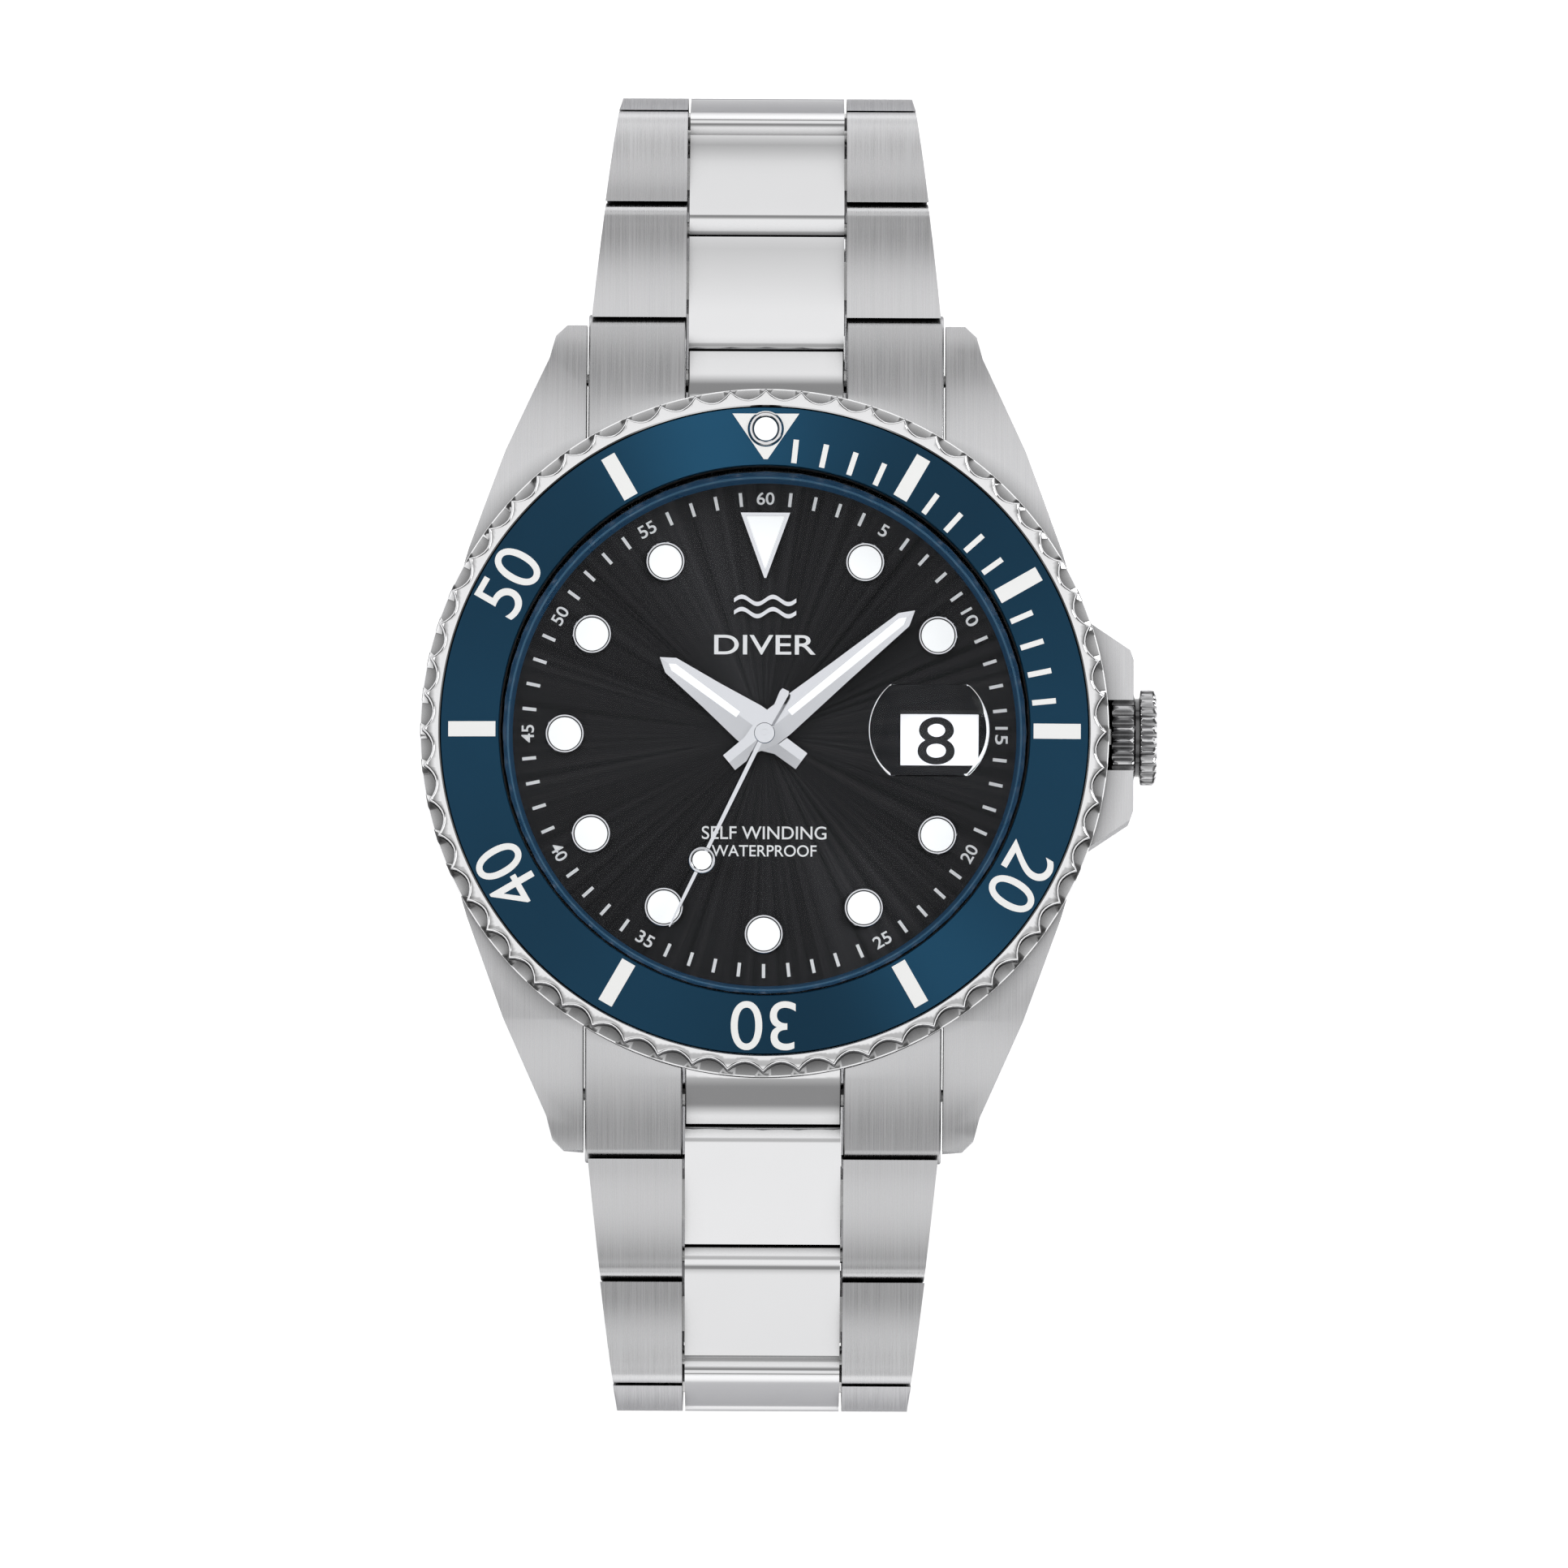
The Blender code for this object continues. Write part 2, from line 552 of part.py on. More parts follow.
def link_mesh(name, number):
    """One link: a centre piece and two side pieces, joined inside and holding the far pin."""
    def half_width(y):
        return link_half_width(number * LINK_PITCH + max(0.0, y))

    bore = circle(BORE_RADIUS, 12)
    link = cross_plate(name, centre_outline(), -CENTRE_HALF, CENTRE_HALF, (bore,))
    sides = [side_piece("link_side", side_outline(), side, half_width) for side in (-1, 1)]
    bridge = block("link_bridge", (-6 * MM, 2.6 * MM, -1.0 * MM), (6 * MM, 5.0 * MM, 1.0 * MM))
    pin = rod("link_pin", PIN_RADIUS, (-6 * MM, LINK_PITCH, 0), (6 * MM, LINK_PITCH, 0), 12)
    return bake(combine(link, "UNION", *sides, bridge, pin))


def last_link_mesh(name):
    """The link that ends in the clasp: its full-width eye holds the clasp's spring bar."""
    link = cross_plate(name, centre_outline(), -CENTRE_HALF, CENTRE_HALF, (circle(BORE_RADIUS, 12),))
    hollow = arc((0, 0), SEAM_RADIUS, -60, 60, 6)
    shoulder = mm((5.3, 1.65), (5.3, -1.65))
    sides = [
        side_piece("link_side", hollow + shoulder, side, lambda y: LAST_HALF_WIDTH) for side in (-1, 1)
    ]
    eye_outline = arc((LINK_PITCH, 0), LINK_RADIUS, 90, -90, 7) + mm((4.2, -1.65), (4.2, 1.65))
    eye_half = CLASP_HALF_WIDTH - COVER_WALL - 0.3 * MM
    eye = cross_plate("link_eye", eye_outline, -eye_half, eye_half)
    bridge = block("link_bridge", (-6 * MM, 2.6 * MM, -1.0 * MM), (6 * MM, 5.0 * MM, 1.0 * MM))
    combine(link, "UNION", *sides, bridge, eye)
    bar_start = (-CLASP_HALF_WIDTH, LINK_PITCH, 0)
    bar_end = (CLASP_HALF_WIDTH, LINK_PITCH, 0)
    return bake(combine(link, "DIFFERENCE", rod("bar_bore", 0.8 * MM, bar_start, bar_end)))


def end_link_mesh(name):
    """The piece between two lugs: a centre and two arms that hold the first link's pin."""
    arm = mm((17.0, 7.25), (17.0, 1.0)) + arc(FIRST_PIVOT, LINK_RADIUS, -90, 60, 7) + mm((21.0, 6.0))
    centre = mm((17.0, 7.25), (17.0, 1.0)) + arc(FIRST_PIVOT, SEAM_RADIUS, 230, 110, 6) + mm((21.0, 6.0))
    link = cross_plate(name, centre, -CENTRE_HALF, CENTRE_HALF)
    outer = LUG_HALF_GAP - 0.1 * MM
    arms = [cross_plate("end_arm", arm, *span) for span in ((-outer, -ARM_INNER), (ARM_INNER, outer))]
    bridge = block("end_bridge", (-7 * MM, 17.5 * MM, 1.5 * MM), (7 * MM, 22.2 * MM, 4.8 * MM))
    pin = rod("end_pin", PIN_RADIUS, (-7 * MM, *FIRST_PIVOT), (7 * MM, *FIRST_PIVOT), 12)
    combine(link, "UNION", *arms, bridge, pin)
    case_clear = rod("case_clear", CASE_RADIUS + 0.25 * MM, (0, 0, -MM), (0, 0, 9 * MM), LARGE_STEPS)
    bar_bore = rod("bar_bore", 0.8 * MM, (-12 * MM, *SPRING_BAR_YZ), (12 * MM, *SPRING_BAR_YZ))
    return bake(combine(link, "DIFFERENCE", case_clear, bar_bore))


def spring_bar(name, body_half, tip_half):
    profile = [
        (0, tip_half),
        (0.38 * MM, tip_half),
        (0.38 * MM, body_half),
        (BAR_RADIUS, body_half),
        (BAR_RADIUS, -body_half),
        (0.38 * MM, -body_half),
        (0.38 * MM, -tip_half),
        (0, -tip_half),
    ]
    bar = turned(name, profile, 12)
    bar.rotation_euler = (0, math.pi / 2, 0)
    return bar


def chain_pivots():
    """The pivots of one side of the bracelet, as (distance from the centre, height) pairs."""
    y, z = FIRST_PIVOT[0], FIRST_PIVOT[1] + HEAD_BASE
    pivots = [(y, z)]
    for dip in LINK_DIPS:
        step_y, step_z = polar(LINK_PITCH, -dip)
        y, z = y + step_y, z + step_z
        pivots.append((y, z))
    return pivots


def make_bracelet():
    end_mesh = end_link_mesh("end_link")
    last = len(LINK_DIPS)
    meshes = [link_mesh(f"link_{number + 1}", number) for number in range(last)]
    clasp_end = last_link_mesh("link_clasp_end")
    pivots = chain_pivots()
    for hour, side, turn in ((12, 1, 0.0), (6, -1, math.pi)):
        head_part(add_object(f"end_link_{hour}", end_mesh), STEEL).rotation_euler = (0, 0, turn)
        bar = spring_bar(f"spring_bar_{hour}", 10.7 * MM, 11.9 * MM)
        head_part(bar, STEEL, (0, side * SPRING_BAR_YZ[0], SPRING_BAR_YZ[1]))
        for number, dip in enumerate(LINK_DIPS):
            y, z = pivots[number]
            mesh = clasp_end if side < 0 and number + 1 == last else meshes[number]
            link = add_object(f"link_{hour}_{number + 1}", mesh)
            finish(link, STEEL, (0, side * y, z)).rotation_euler = (-math.radians(dip), 0, turn)
    return pivots[-1]


# ---------------------------------------------------------------- clasp


def make_inner_blade(first):
    """The blade on the twelve o'clock half, hung on its last link."""
    wide, neck = 4.0 * MM, 1.9 * MM
    end_y = BLADE_PIVOT[0]
    right = [(neck, end_y), (neck, -11.1 * MM), (wide, -10.2 * MM), (wide, 15.4 * MM), (CENTRE_HALF, 16.2 * MM)]
    right.append((CENTRE_HALF, first[0]))
    blade = plate("clasp_inner_blade", right + [(-x, y) for x, y in right[::-1]], 2.5 * MM, 3.2 * MM)
    eye = rod("blade_eye", 1.5 * MM, (-CENTRE_HALF, *first), (CENTRE_HALF, *first))
    knuckle = rod("blade_knuckle", 0.85 * MM, (-neck, *BLADE_PIVOT), (neck, *BLADE_PIVOT), 12)
    combine(blade, "UNION", eye, knuckle)
    eye_bore = rod("eye_bore", BORE_RADIUS, (-6 * MM, *first), (6 * MM, *first), 12)
    knuckle_bore = rod("knuckle_bore", 0.45 * MM, (-3 * MM, *BLADE_PIVOT), (3 * MM, *BLADE_PIVOT), 12)
    mesh = bake(combine(blade, "DIFFERENCE", eye_bore, knuckle_bore))
    place_at(add_object("clasp_inner_blade", mesh), first)


def place_at(obj, pivot):
    """Moves an object's origin to a pivot on its mesh, and leaves its shape where it is."""
    obj.data.transform(Matrix.Translation((0, -pivot[0], -pivot[1])))
    finish(obj, STEEL, (0, *pivot))


def make_outer_blade():
    """The blade between the inner blade and the cover, forked at one end."""
    wide, neck, slot = 4.2 * MM, 1.9 * MM, 2.1 * MM
    near, far = BLADE_PIVOT[0], COVER_PIVOT[0]
    outline = [(slot, near), (wide, near), (wide, 10.4 * MM), (neck, 11.1 * MM), (neck, far)]
    outline += [(-x, y) for x, y in outline[::-1]]
    outline += [(-slot, -11.2 * MM), (slot, -11.2 * MM)]
    blade = plate("clasp_outer_blade", outline, 1.25 * MM, 1.95 * MM)
    ears = [
        rod("blade_ear", 0.85 * MM, (side * slot, *BLADE_PIVOT), (side * wide, *BLADE_PIVOT), 12)
        for side in (-1, 1)
    ]
    pin = rod("blade_pin", 0.38 * MM, (-3 * MM, *BLADE_PIVOT), (3 * MM, *BLADE_PIVOT), 12)
    knuckle = rod("cover_knuckle", 0.65 * MM, (-neck, *COVER_PIVOT), (neck, *COVER_PIVOT), 12)
    combine(blade, "UNION", *ears, pin, knuckle)
    bore = rod("knuckle_bore", 0.4 * MM, (-3 * MM, *COVER_PIVOT), (3 * MM, *COVER_PIVOT), 12)
    mesh = bake(combine(blade, "DIFFERENCE", bore))
    place_at(add_object("clasp_outer_blade", mesh), BLADE_PIVOT)


def make_cover(last):
    """The outer cover: a channel whose walls end in two ears beside the last link."""
    bar_y, bar_z = -last[0], last[1]
    half, inner = CLASP_HALF_WIDTH, CLASP_HALF_WIDTH - COVER_WALL
    cover = block("clasp_cover", (-half, -15.7 * MM, 0), (half, 14.2 * MM, COVER_WALL))
    wall = [(14.2 * MM, 0.0), (14.2 * MM, 2.6 * MM), (12.8 * MM, 4.0 * MM), (-14.0 * MM, 4.4 * MM)]
    wall += arc((bar_y, bar_z), 1.85 * MM, 90, 250, 8)
    wall += [(-15.7 * MM, 0.0)]
    walls = [cross_plate("cover_wall", wall, *span) for span in ((-half, -inner), (inner, half))]
    lugs, slot, wide = [], 2.1 * MM, 4.4 * MM
    for side in (-1, 1):
        lugs.append(rod("cover_lug", 0.65 * MM, (side * slot, *COVER_PIVOT), (side * wide, *COVER_PIVOT), 12))
        low, high = min(side * slot, side * wide), max(side * slot, side * wide)
        lugs.append(block("cover_post", (low, 12.1 * MM, 0.4 * MM), (high, 13.1 * MM, 1.6 * MM)))
    pin = rod("cover_pin", 0.33 * MM, (-3 * MM, *COVER_PIVOT), (3 * MM, *COVER_PIVOT), 12)
    combine(cover, "UNION", *walls, *lugs, pin)
    window_low, window_high = (-10 * MM, -2.5 * MM, 1.4 * MM), (10 * MM, 2.5 * MM, 3.2 * MM)
    cuts = [block("button_window", window_low, window_high)]
    for step in range(4):
        hole_y = bar_y + step * 1.8 * MM
        cuts.append(rod("bar_hole", 0.42 * MM, (-10 * MM, hole_y, bar_z), (10 * MM, hole_y, bar_z), 8))
    mesh = bake(combine(cover, "DIFFERENCE", *cuts))
    place_at(add_object("clasp_cover", mesh), COVER_PIVOT)
    for side, name in ((-1, "clasp_button_left"), (1, "clasp_button_right")):
        low, high = sorted((side * 7.6 * MM, side * 9.4 * MM))
        finish(block(name, (low, -2.3 * MM, 1.6 * MM), (high, 2.3 * MM, 3.0 * MM)), POLISHED)
    bar = spring_bar("clasp_spring_bar", 7.7 * MM, 8.05 * MM)
    finish(bar, STEEL, (0, bar_y, bar_z))


for leftover in list(bpy.data.objects):
    bpy.data.objects.remove(leftover, do_unlink=True)
WATCH = new_collection("dive_watch")
CUTTERS = new_collection("cutters")
HEAD = add_object("head", None)
HEAD.location = (0, 0, HEAD_BASE)

make_mid_case()
make_case_closures()
make_crystal()
make_bezel()
make_crown()
make_dial()
make_hands()
make_train()
make_escapement()
make_plates()
make_rotor()
chain_end = make_bracelet()
make_inner_blade(chain_end)
make_outer_blade()
make_cover(chain_end)
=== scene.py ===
"""The looks of the dive watch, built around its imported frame.

Metres, +Z up. Lengths written in millimetres pass through mm() or MM. Heights of the head are counted
from the bottom of the case back, and the links' places come from the frame's joints.
"""

import json
import math

import bmesh
import bpy
from mathutils import Matrix, Vector


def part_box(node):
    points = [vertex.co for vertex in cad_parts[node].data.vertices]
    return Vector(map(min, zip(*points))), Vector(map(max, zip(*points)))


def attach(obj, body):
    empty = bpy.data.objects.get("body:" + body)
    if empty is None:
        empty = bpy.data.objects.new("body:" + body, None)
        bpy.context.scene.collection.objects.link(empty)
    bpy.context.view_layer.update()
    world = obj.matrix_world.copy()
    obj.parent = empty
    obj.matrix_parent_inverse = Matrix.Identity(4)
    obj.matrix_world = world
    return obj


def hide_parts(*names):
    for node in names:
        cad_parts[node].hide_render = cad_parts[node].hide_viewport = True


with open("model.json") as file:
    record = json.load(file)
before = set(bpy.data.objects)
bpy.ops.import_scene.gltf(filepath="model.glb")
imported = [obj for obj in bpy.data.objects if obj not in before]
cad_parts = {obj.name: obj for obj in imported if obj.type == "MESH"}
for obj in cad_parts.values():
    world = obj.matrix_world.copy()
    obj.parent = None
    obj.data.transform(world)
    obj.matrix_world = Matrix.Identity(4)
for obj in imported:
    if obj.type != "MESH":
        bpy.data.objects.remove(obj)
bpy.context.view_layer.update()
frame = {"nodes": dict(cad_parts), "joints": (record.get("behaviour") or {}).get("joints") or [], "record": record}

MM = 0.001
NODES = frame["nodes"]
JOINTS = {joint["name"]: joint for joint in frame["joints"]}
SLOT_OF = {part["node"]: part["material_slot"] for part in frame["record"]["subparts"]}
HEAD_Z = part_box("case_back")[0].z
HEAD = Matrix.Translation((0, 0, HEAD_Z))

# Sides of a large and of a small turned piece
ROUND = 240
SMALL_ROUND = 64

# Camera
CAMERA_DISTANCE = 0.95
CAMERA_PITCH = math.radians(3.4)
CAMERA_ROLL = math.radians(0.25)
CAMERA_LENS = 359
CAMERA_AIM = Vector((1.2 * MM, -3.28 * MM, 0))
CAMERA_TARGET_HEIGHT = 11 * MM

FLOOR_HALF = 2.0
FLOOR_GLOW = 0.58

# Brightness of the dome by a direction's height, width, side (0 in front, 1 behind) and depth
DOME_BY_HEIGHT = ((0.0, 0.9), (0.05, 0.8), (0.12, 0.28), (0.58, 0.3), (0.73, 0.98), (1.0, 1.0))
DOME_BY_WIDTH = ((0.0, 1.0), (0.25, 1.0), (0.45, 0.4), (0.7, 0.2), (0.85, 0.75), (1.0, 0.9))
DOME_BY_SIDE = ((0.0, 1.0), (0.28, 1.0), (0.32, 0.55), (0.41, 0.6), (0.45, 1.0), (1.0, 1.0))
DOME_BY_DEPTH = ((0.0, 0.0), (0.87, 0.0), (0.92, 0.95), (0.98, 0.9), (0.993, 0.05), (1.0, 0.05))

# Steel: the tint of its reflection at a grazing angle
STEEL_EDGE = (0.35, 0.35, 0.36, 1)

# Bezel insert: its face slopes down from the inner to the outer edge
INSERT_INNER, INSERT_OUTER = 16.12, 19.72
INSERT_HIGH, INSERT_LOW = 11.15, 10.85
PEARL_R = 18.36
MARK_INNER, MARK_OUTER, TICK_OUTER = 16.35, 19.22, 17.8
NUMBER_INNER, NUMBER_OUTER = 16.5, 19.46
SCALLOPS = 60

# Dial: applied pieces start a little below its top, and print is PRINT thick
DIAL_TOP = 6.45
APPLIED_BASE = 6.44
PRINT = 0.03
TRACK_INNER, TRACK_OUTER = 14.02, 14.87
MARKER_R = 12.2
DATE_SHOWN, DATE_DAYS = 8, 31

# Hands at rest, clockwise from twelve
HOUR_ANGLE = math.radians(306.1)
MINUTE_ANGLE = math.radians(50.4)
SECOND_ANGLE = math.radians(205.9)

# Links
LINK_PITCH = 7.6
LINK_R = 1.65
LINKS = 7
SIDE_SEAM_R, SIDE_SEAM_ANGLE, SIDE_SEAM_REACH = 1.9, 61, 0.9
CENTRE_SEAM_R, CENTRE_SEAM_ANGLE, CENTRE_SEAM_REACH = 2.05, 54, 1.2
CENTRE_BULGE, SIDE_BULGE = 0.05, 0.24
CENTRE_HALF = 4.76
ARM_INNER = 4.92
LAST_ARM_END = 5.3
END_LINK_CUT, END_LINK_HALF = 20.9, 10.88
END_LINK_PIVOT = (24.4, 2.2)
FIRST_HALF_WIDTH, LAST_HALF_WIDTH, WIDTH_LOSS = 10.8, 9.0, 0.1

# Widths of the worn edges on nodes that are kept
NODE_BEVELS = {
    "mid_case": 0.14,
    "clasp_cover": 0.12,
    "clasp_inner_blade": 0.08,
    "clasp_outer_blade": 0.08,
    "clasp_button_left": 0.15,
    "clasp_button_right": 0.15,
}


# ---------------------------------------------------------------- camera, light and floor


def make_camera():
    """A long lens almost straight above the dial, level with the photograph's view."""
    top = Vector((0, 0, HEAD_Z + CAMERA_TARGET_HEIGHT))
    data = bpy.data.cameras.new("camera")
    data.lens = CAMERA_LENS
    data.clip_start = 0.01
    camera = bpy.data.objects.new("camera", data)
    bpy.context.scene.collection.objects.link(camera)
    back = Vector((0, -math.sin(CAMERA_PITCH), math.cos(CAMERA_PITCH)))
    up = Vector((-math.sin(CAMERA_ROLL), math.cos(CAMERA_ROLL), 0))
    right = up.cross(back).normalized()
    up = back.cross(right)
    turn = Matrix((right, up, back)).transposed().to_4x4()
    camera.matrix_world = Matrix.Translation(top + CAMERA_AIM + back * CAMERA_DISTANCE) @ turn
    bpy.context.scene.camera = camera


def area_light(name, place, target, size, power):
    data = bpy.data.lights.new(name, "AREA")
    data.shape = "RECTANGLE"
    data.size, data.size_y = size
    data.energy = power
    light = bpy.data.objects.new(name, data)
    bpy.context.scene.collection.objects.link(light)
    light.location = place
    light.rotation_euler = (Vector(target) - Vector(place)).to_track_quat("-Z", "Y").to_euler()


def grey_ramp(nodes, stops):
    """A ramp of greys, as (position, value) pairs from first to last."""
    ramp = nodes.new("ShaderNodeValToRGB")
    elements = ramp.color_ramp.elements
    elements[0].position, elements[0].color = stops[0][0], (stops[0][1],) * 3 + (1,)
    elements[1].position, elements[1].color = stops[-1][0], (stops[-1][1],) * 3 + (1,)
    for position, value in stops[1:-1]:
        elements.new(position).color = (value, value, value, 1)
    return ramp


def blend(nodes, links, operation, first, second):
    """The result of a sum or comparison of two grey values."""
    node = nodes.new("ShaderNodeMath")
    node.operation = operation
    links.new(first.outputs[0], node.inputs[0])
    links.new(second.outputs[0], node.inputs[1])
    return node


def make_light():
    """A pale dome with a dark band below its top, broken by pale panels in front and behind."""
    world = bpy.data.worlds.new("studio")
    world.use_nodes = True
    bpy.context.scene.world = world
    nodes, links = world.node_tree.nodes, world.node_tree.links
    place = nodes.new("ShaderNodeTexCoord")
    split = nodes.new("ShaderNodeSeparateXYZ")
    height = grey_ramp(nodes, DOME_BY_HEIGHT)
    width = grey_ramp(nodes, DOME_BY_WIDTH)
    depth = grey_ramp(nodes, DOME_BY_DEPTH)
    links.new(place.outputs["Generated"], split.inputs[0])
    links.new(split.outputs["Z"], height.inputs["Fac"])
    for axis, ramp in (("X", width), ("Y", depth)):
        size = nodes.new("ShaderNodeMath")
        size.operation = "ABSOLUTE"
        links.new(split.outputs[axis], size.inputs[0])
        links.new(size.outputs[0], ramp.inputs["Fac"])
    side = grey_ramp(nodes, DOME_BY_SIDE)
    halved = nodes.new("ShaderNodeMath")
    halved.operation = "MULTIPLY_ADD"
    halved.inputs[1].default_value, halved.inputs[2].default_value = 0.5, 0.5
    links.new(split.outputs["Y"], halved.inputs[0])
    links.new(halved.outputs[0], side.inputs["Fac"])
    top = blend(nodes, links, "MULTIPLY", blend(nodes, links, "MULTIPLY", height, width), side)
    whole = blend(nodes, links, "MAXIMUM", top, depth)
    links.new(whole.outputs[0], nodes["Background"].inputs["Color"])
    target = (0, 0, 0.03)
    area_light("softbox_left", (-0.6, 0.15, 0.5), target, size=(0.4, 0.6), power=1.0)
    area_light("softbox_right", (0.55, 0.3, 0.5), target, size=(0.22, 0.4), power=1.6)


def make_floor():
    work = bmesh.new()
    bmesh.ops.create_grid(work, x_segments=1, y_segments=1, size=FLOOR_HALF)
    mesh = bpy.data.meshes.new("floor")
    work.to_mesh(mesh)
    work.free()
    floor = bpy.data.objects.new("floor", mesh)
    bpy.context.scene.collection.objects.link(floor)
    material, nodes, links, shader = new_material("floor_paper", (0.93, 0.93, 0.93), 0.9, 0)
    vary(nodes, links, shader, (30, 30, 30), roughness=(0.85, 0.95))
    shader.inputs["Emission Color"].default_value = (1, 1, 1, 1)
    shader.inputs["Emission Strength"].default_value = FLOOR_GLOW
    mesh.materials.append(material)


# ---------------------------------------------------------------- materials


def new_material(name, colour, roughness, metallic):
    material = bpy.data.materials.new(name)
    material.use_nodes = True
    nodes, links = material.node_tree.nodes, material.node_tree.links
    shader = nodes["Principled BSDF"]
    shader.inputs["Base Color"].default_value = (*colour, 1)
    shader.inputs["Roughness"].default_value = roughness
    shader.inputs["Metallic"].default_value = metallic
    return material, nodes, links, shader


def noise(nodes, links, scale, detail=4.0):
    """Noise in the piece's own space, stretched by a scale for each axis."""
    place = nodes.new("ShaderNodeTexCoord")
    stretch = nodes.new("ShaderNodeMapping")
    stretch.inputs["Scale"].default_value = scale
    texture = nodes.new("ShaderNodeTexNoise")
    texture.inputs["Scale"].default_value = 1.0
    texture.inputs["Detail"].default_value = detail
    links.new(place.outputs["Object"], stretch.inputs["Vector"])
    links.new(stretch.outputs["Vector"], texture.inputs["Vector"])
    return texture


def vary(nodes, links, shader, scale, roughness=None, colours=None, bump=0.0, painted_shade_reach=0.0, crisp=1.0):
    """Lets noise move a shader's roughness, colour and surface, and paints shade into its colour in crevices and
    hollows up to a width.

    The colour is raised to the power crisp, which makes the painted shade darker still.
    """
    texture = noise(nodes, links, scale)
    if roughness:
        spread = nodes.new("ShaderNodeMapRange")
        spread.inputs["From Min"].default_value = 0.3
        spread.inputs["From Max"].default_value = 0.7
        spread.inputs["To Min"].default_value, spread.inputs["To Max"].default_value = roughness
        links.new(texture.outputs["Fac"], spread.inputs["Value"])
        links.new(spread.outputs["Result"], shader.inputs["Roughness"])
    if colours:
        ramp = nodes.new("ShaderNodeValToRGB")
        ramp.color_ramp.elements[0].position, ramp.color_ramp.elements[1].position = 0.3, 0.7
        ramp.color_ramp.elements[0].color = (*colours[0], 1)
        ramp.color_ramp.elements[1].color = (*colours[1], 1)
        links.new(texture.outputs["Fac"], ramp.inputs["Fac"])
        links.new(ramp.outputs["Color"], shader.inputs["Base Color"])
    # Painted shade: ambient occlusion darkens the colour in crevices and hollows.
    if painted_shade_reach:
        shade = nodes.new("ShaderNodeAmbientOcclusion")
        shade.samples = 8
        shade.inputs["Distance"].default_value = painted_shade_reach * MM
        links.new(ramp.outputs["Color"], shade.inputs["Color"])
        power = nodes.new("ShaderNodeGamma")
        power.inputs["Gamma"].default_value = crisp
        links.new(shade.outputs["Color"], power.inputs["Color"])
        links.new(power.outputs["Color"], shader.inputs["Base Color"])
    if bump:
        relief = nodes.new("ShaderNodeBump")
        relief.inputs["Strength"].default_value = bump
        relief.inputs["Distance"].default_value = 0.02 * MM
        links.new(texture.outputs["Fac"], relief.inputs["Height"])
        links.new(relief.outputs["Normal"], shader.inputs["Normal"])


def brushed_steel():
    """Steel with fine lines that run across X, along the lugs and the bracelet, and painted shade in the colour of
    its crevices.
    """
    material, nodes, links, shader = new_material("brushed_steel", (0.6, 0.6, 0.61), 0.3, 1)
    colours = ((0.6, 0.6, 0.61), (0.7, 0.7, 0.71))
    vary(nodes, links, shader, (18000, 120, 120), (0.24, 0.32), colours, 0.15, 1.4)
    shader.inputs["Specular Tint"].default_value = STEEL_EDGE
    return material


def polished_steel():
    material, nodes, links, shader = new_material("polished_steel", (0.78, 0.78, 0.79), 0.07, 1)
    colours = ((0.9, 0.9, 0.905), (0.91, 0.91, 0.915))
    # Painted shade: ambient occlusion darkens the colour in crevices and hollows, deepened by a power of 2.
    vary(nodes, links, shader, (150, 150, 150), (0.05, 0.07), colours, 0.0, 1.4, 2.0)
    shader.inputs["Specular Tint"].default_value = STEEL_EDGE
    return material


def hand_steel():
    """Polished steel for the hands, which lie close under the crystal and take no shade from it."""
    material, nodes, links, shader = new_material("hand_steel", (0.8, 0.8, 0.81), 0.12, 1)
    vary(nodes, links, shader, (150, 150, 150), (0.1, 0.14), ((0.8, 0.8, 0.81), (0.83, 0.83, 0.84)))
    return material


def knurled_steel():
    """Polished steel with painted shade that darkens the colour between its deep teeth."""
    material, nodes, links, shader = new_material("knurled_steel", (0.75, 0.75, 0.76), 0.08, 1)
    colours = ((0.91, 0.91, 0.915), (0.92, 0.92, 0.925))
    vary(nodes, links, shader, (150, 150, 150), (0.06, 0.1), colours, 0.0, 0.7, 3.0)
    return material


def plain(name, low, high, roughness, metallic=0.0, scale=400, bump=0.05, painted_glow=0.0):
    """A material that drifts between two close colours, and may shine with painted light of its own, though it is
    no lamp.
    """
    material, nodes, links, shader = new_material(name, low, roughness, metallic)
    # Painted light: the emission makes the material shine though it is no lamp.
    shader.inputs["Emission Color"].default_value = (*high, 1)
    shader.inputs["Emission Strength"].default_value = painted_glow
    vary(nodes, links, shader, (scale,) * 3, (roughness * 0.85, roughness * 1.15), (low, high), bump)
    return material


def navy_ceramic():
    material, nodes, links, shader = new_material("navy_ceramic", (0.012, 0.07, 0.14), 0.6, 1)
    tangent = nodes.new("ShaderNodeTangent")
    tangent.direction_type = "RADIAL"
    tangent.axis = "Z"
    links.new(tangent.outputs["Tangent"], shader.inputs["Tangent"])
    shader.inputs["Anisotropic"].default_value = 0.97
    shader.inputs["Coat Weight"].default_value = 0.15
    shader.inputs["Coat Roughness"].default_value = 0.05
    vary(nodes, links, shader, (250, 250, 250), (0.58, 0.62), ((0.018, 0.102, 0.195), (0.019, 0.107, 0.205)))
    return material


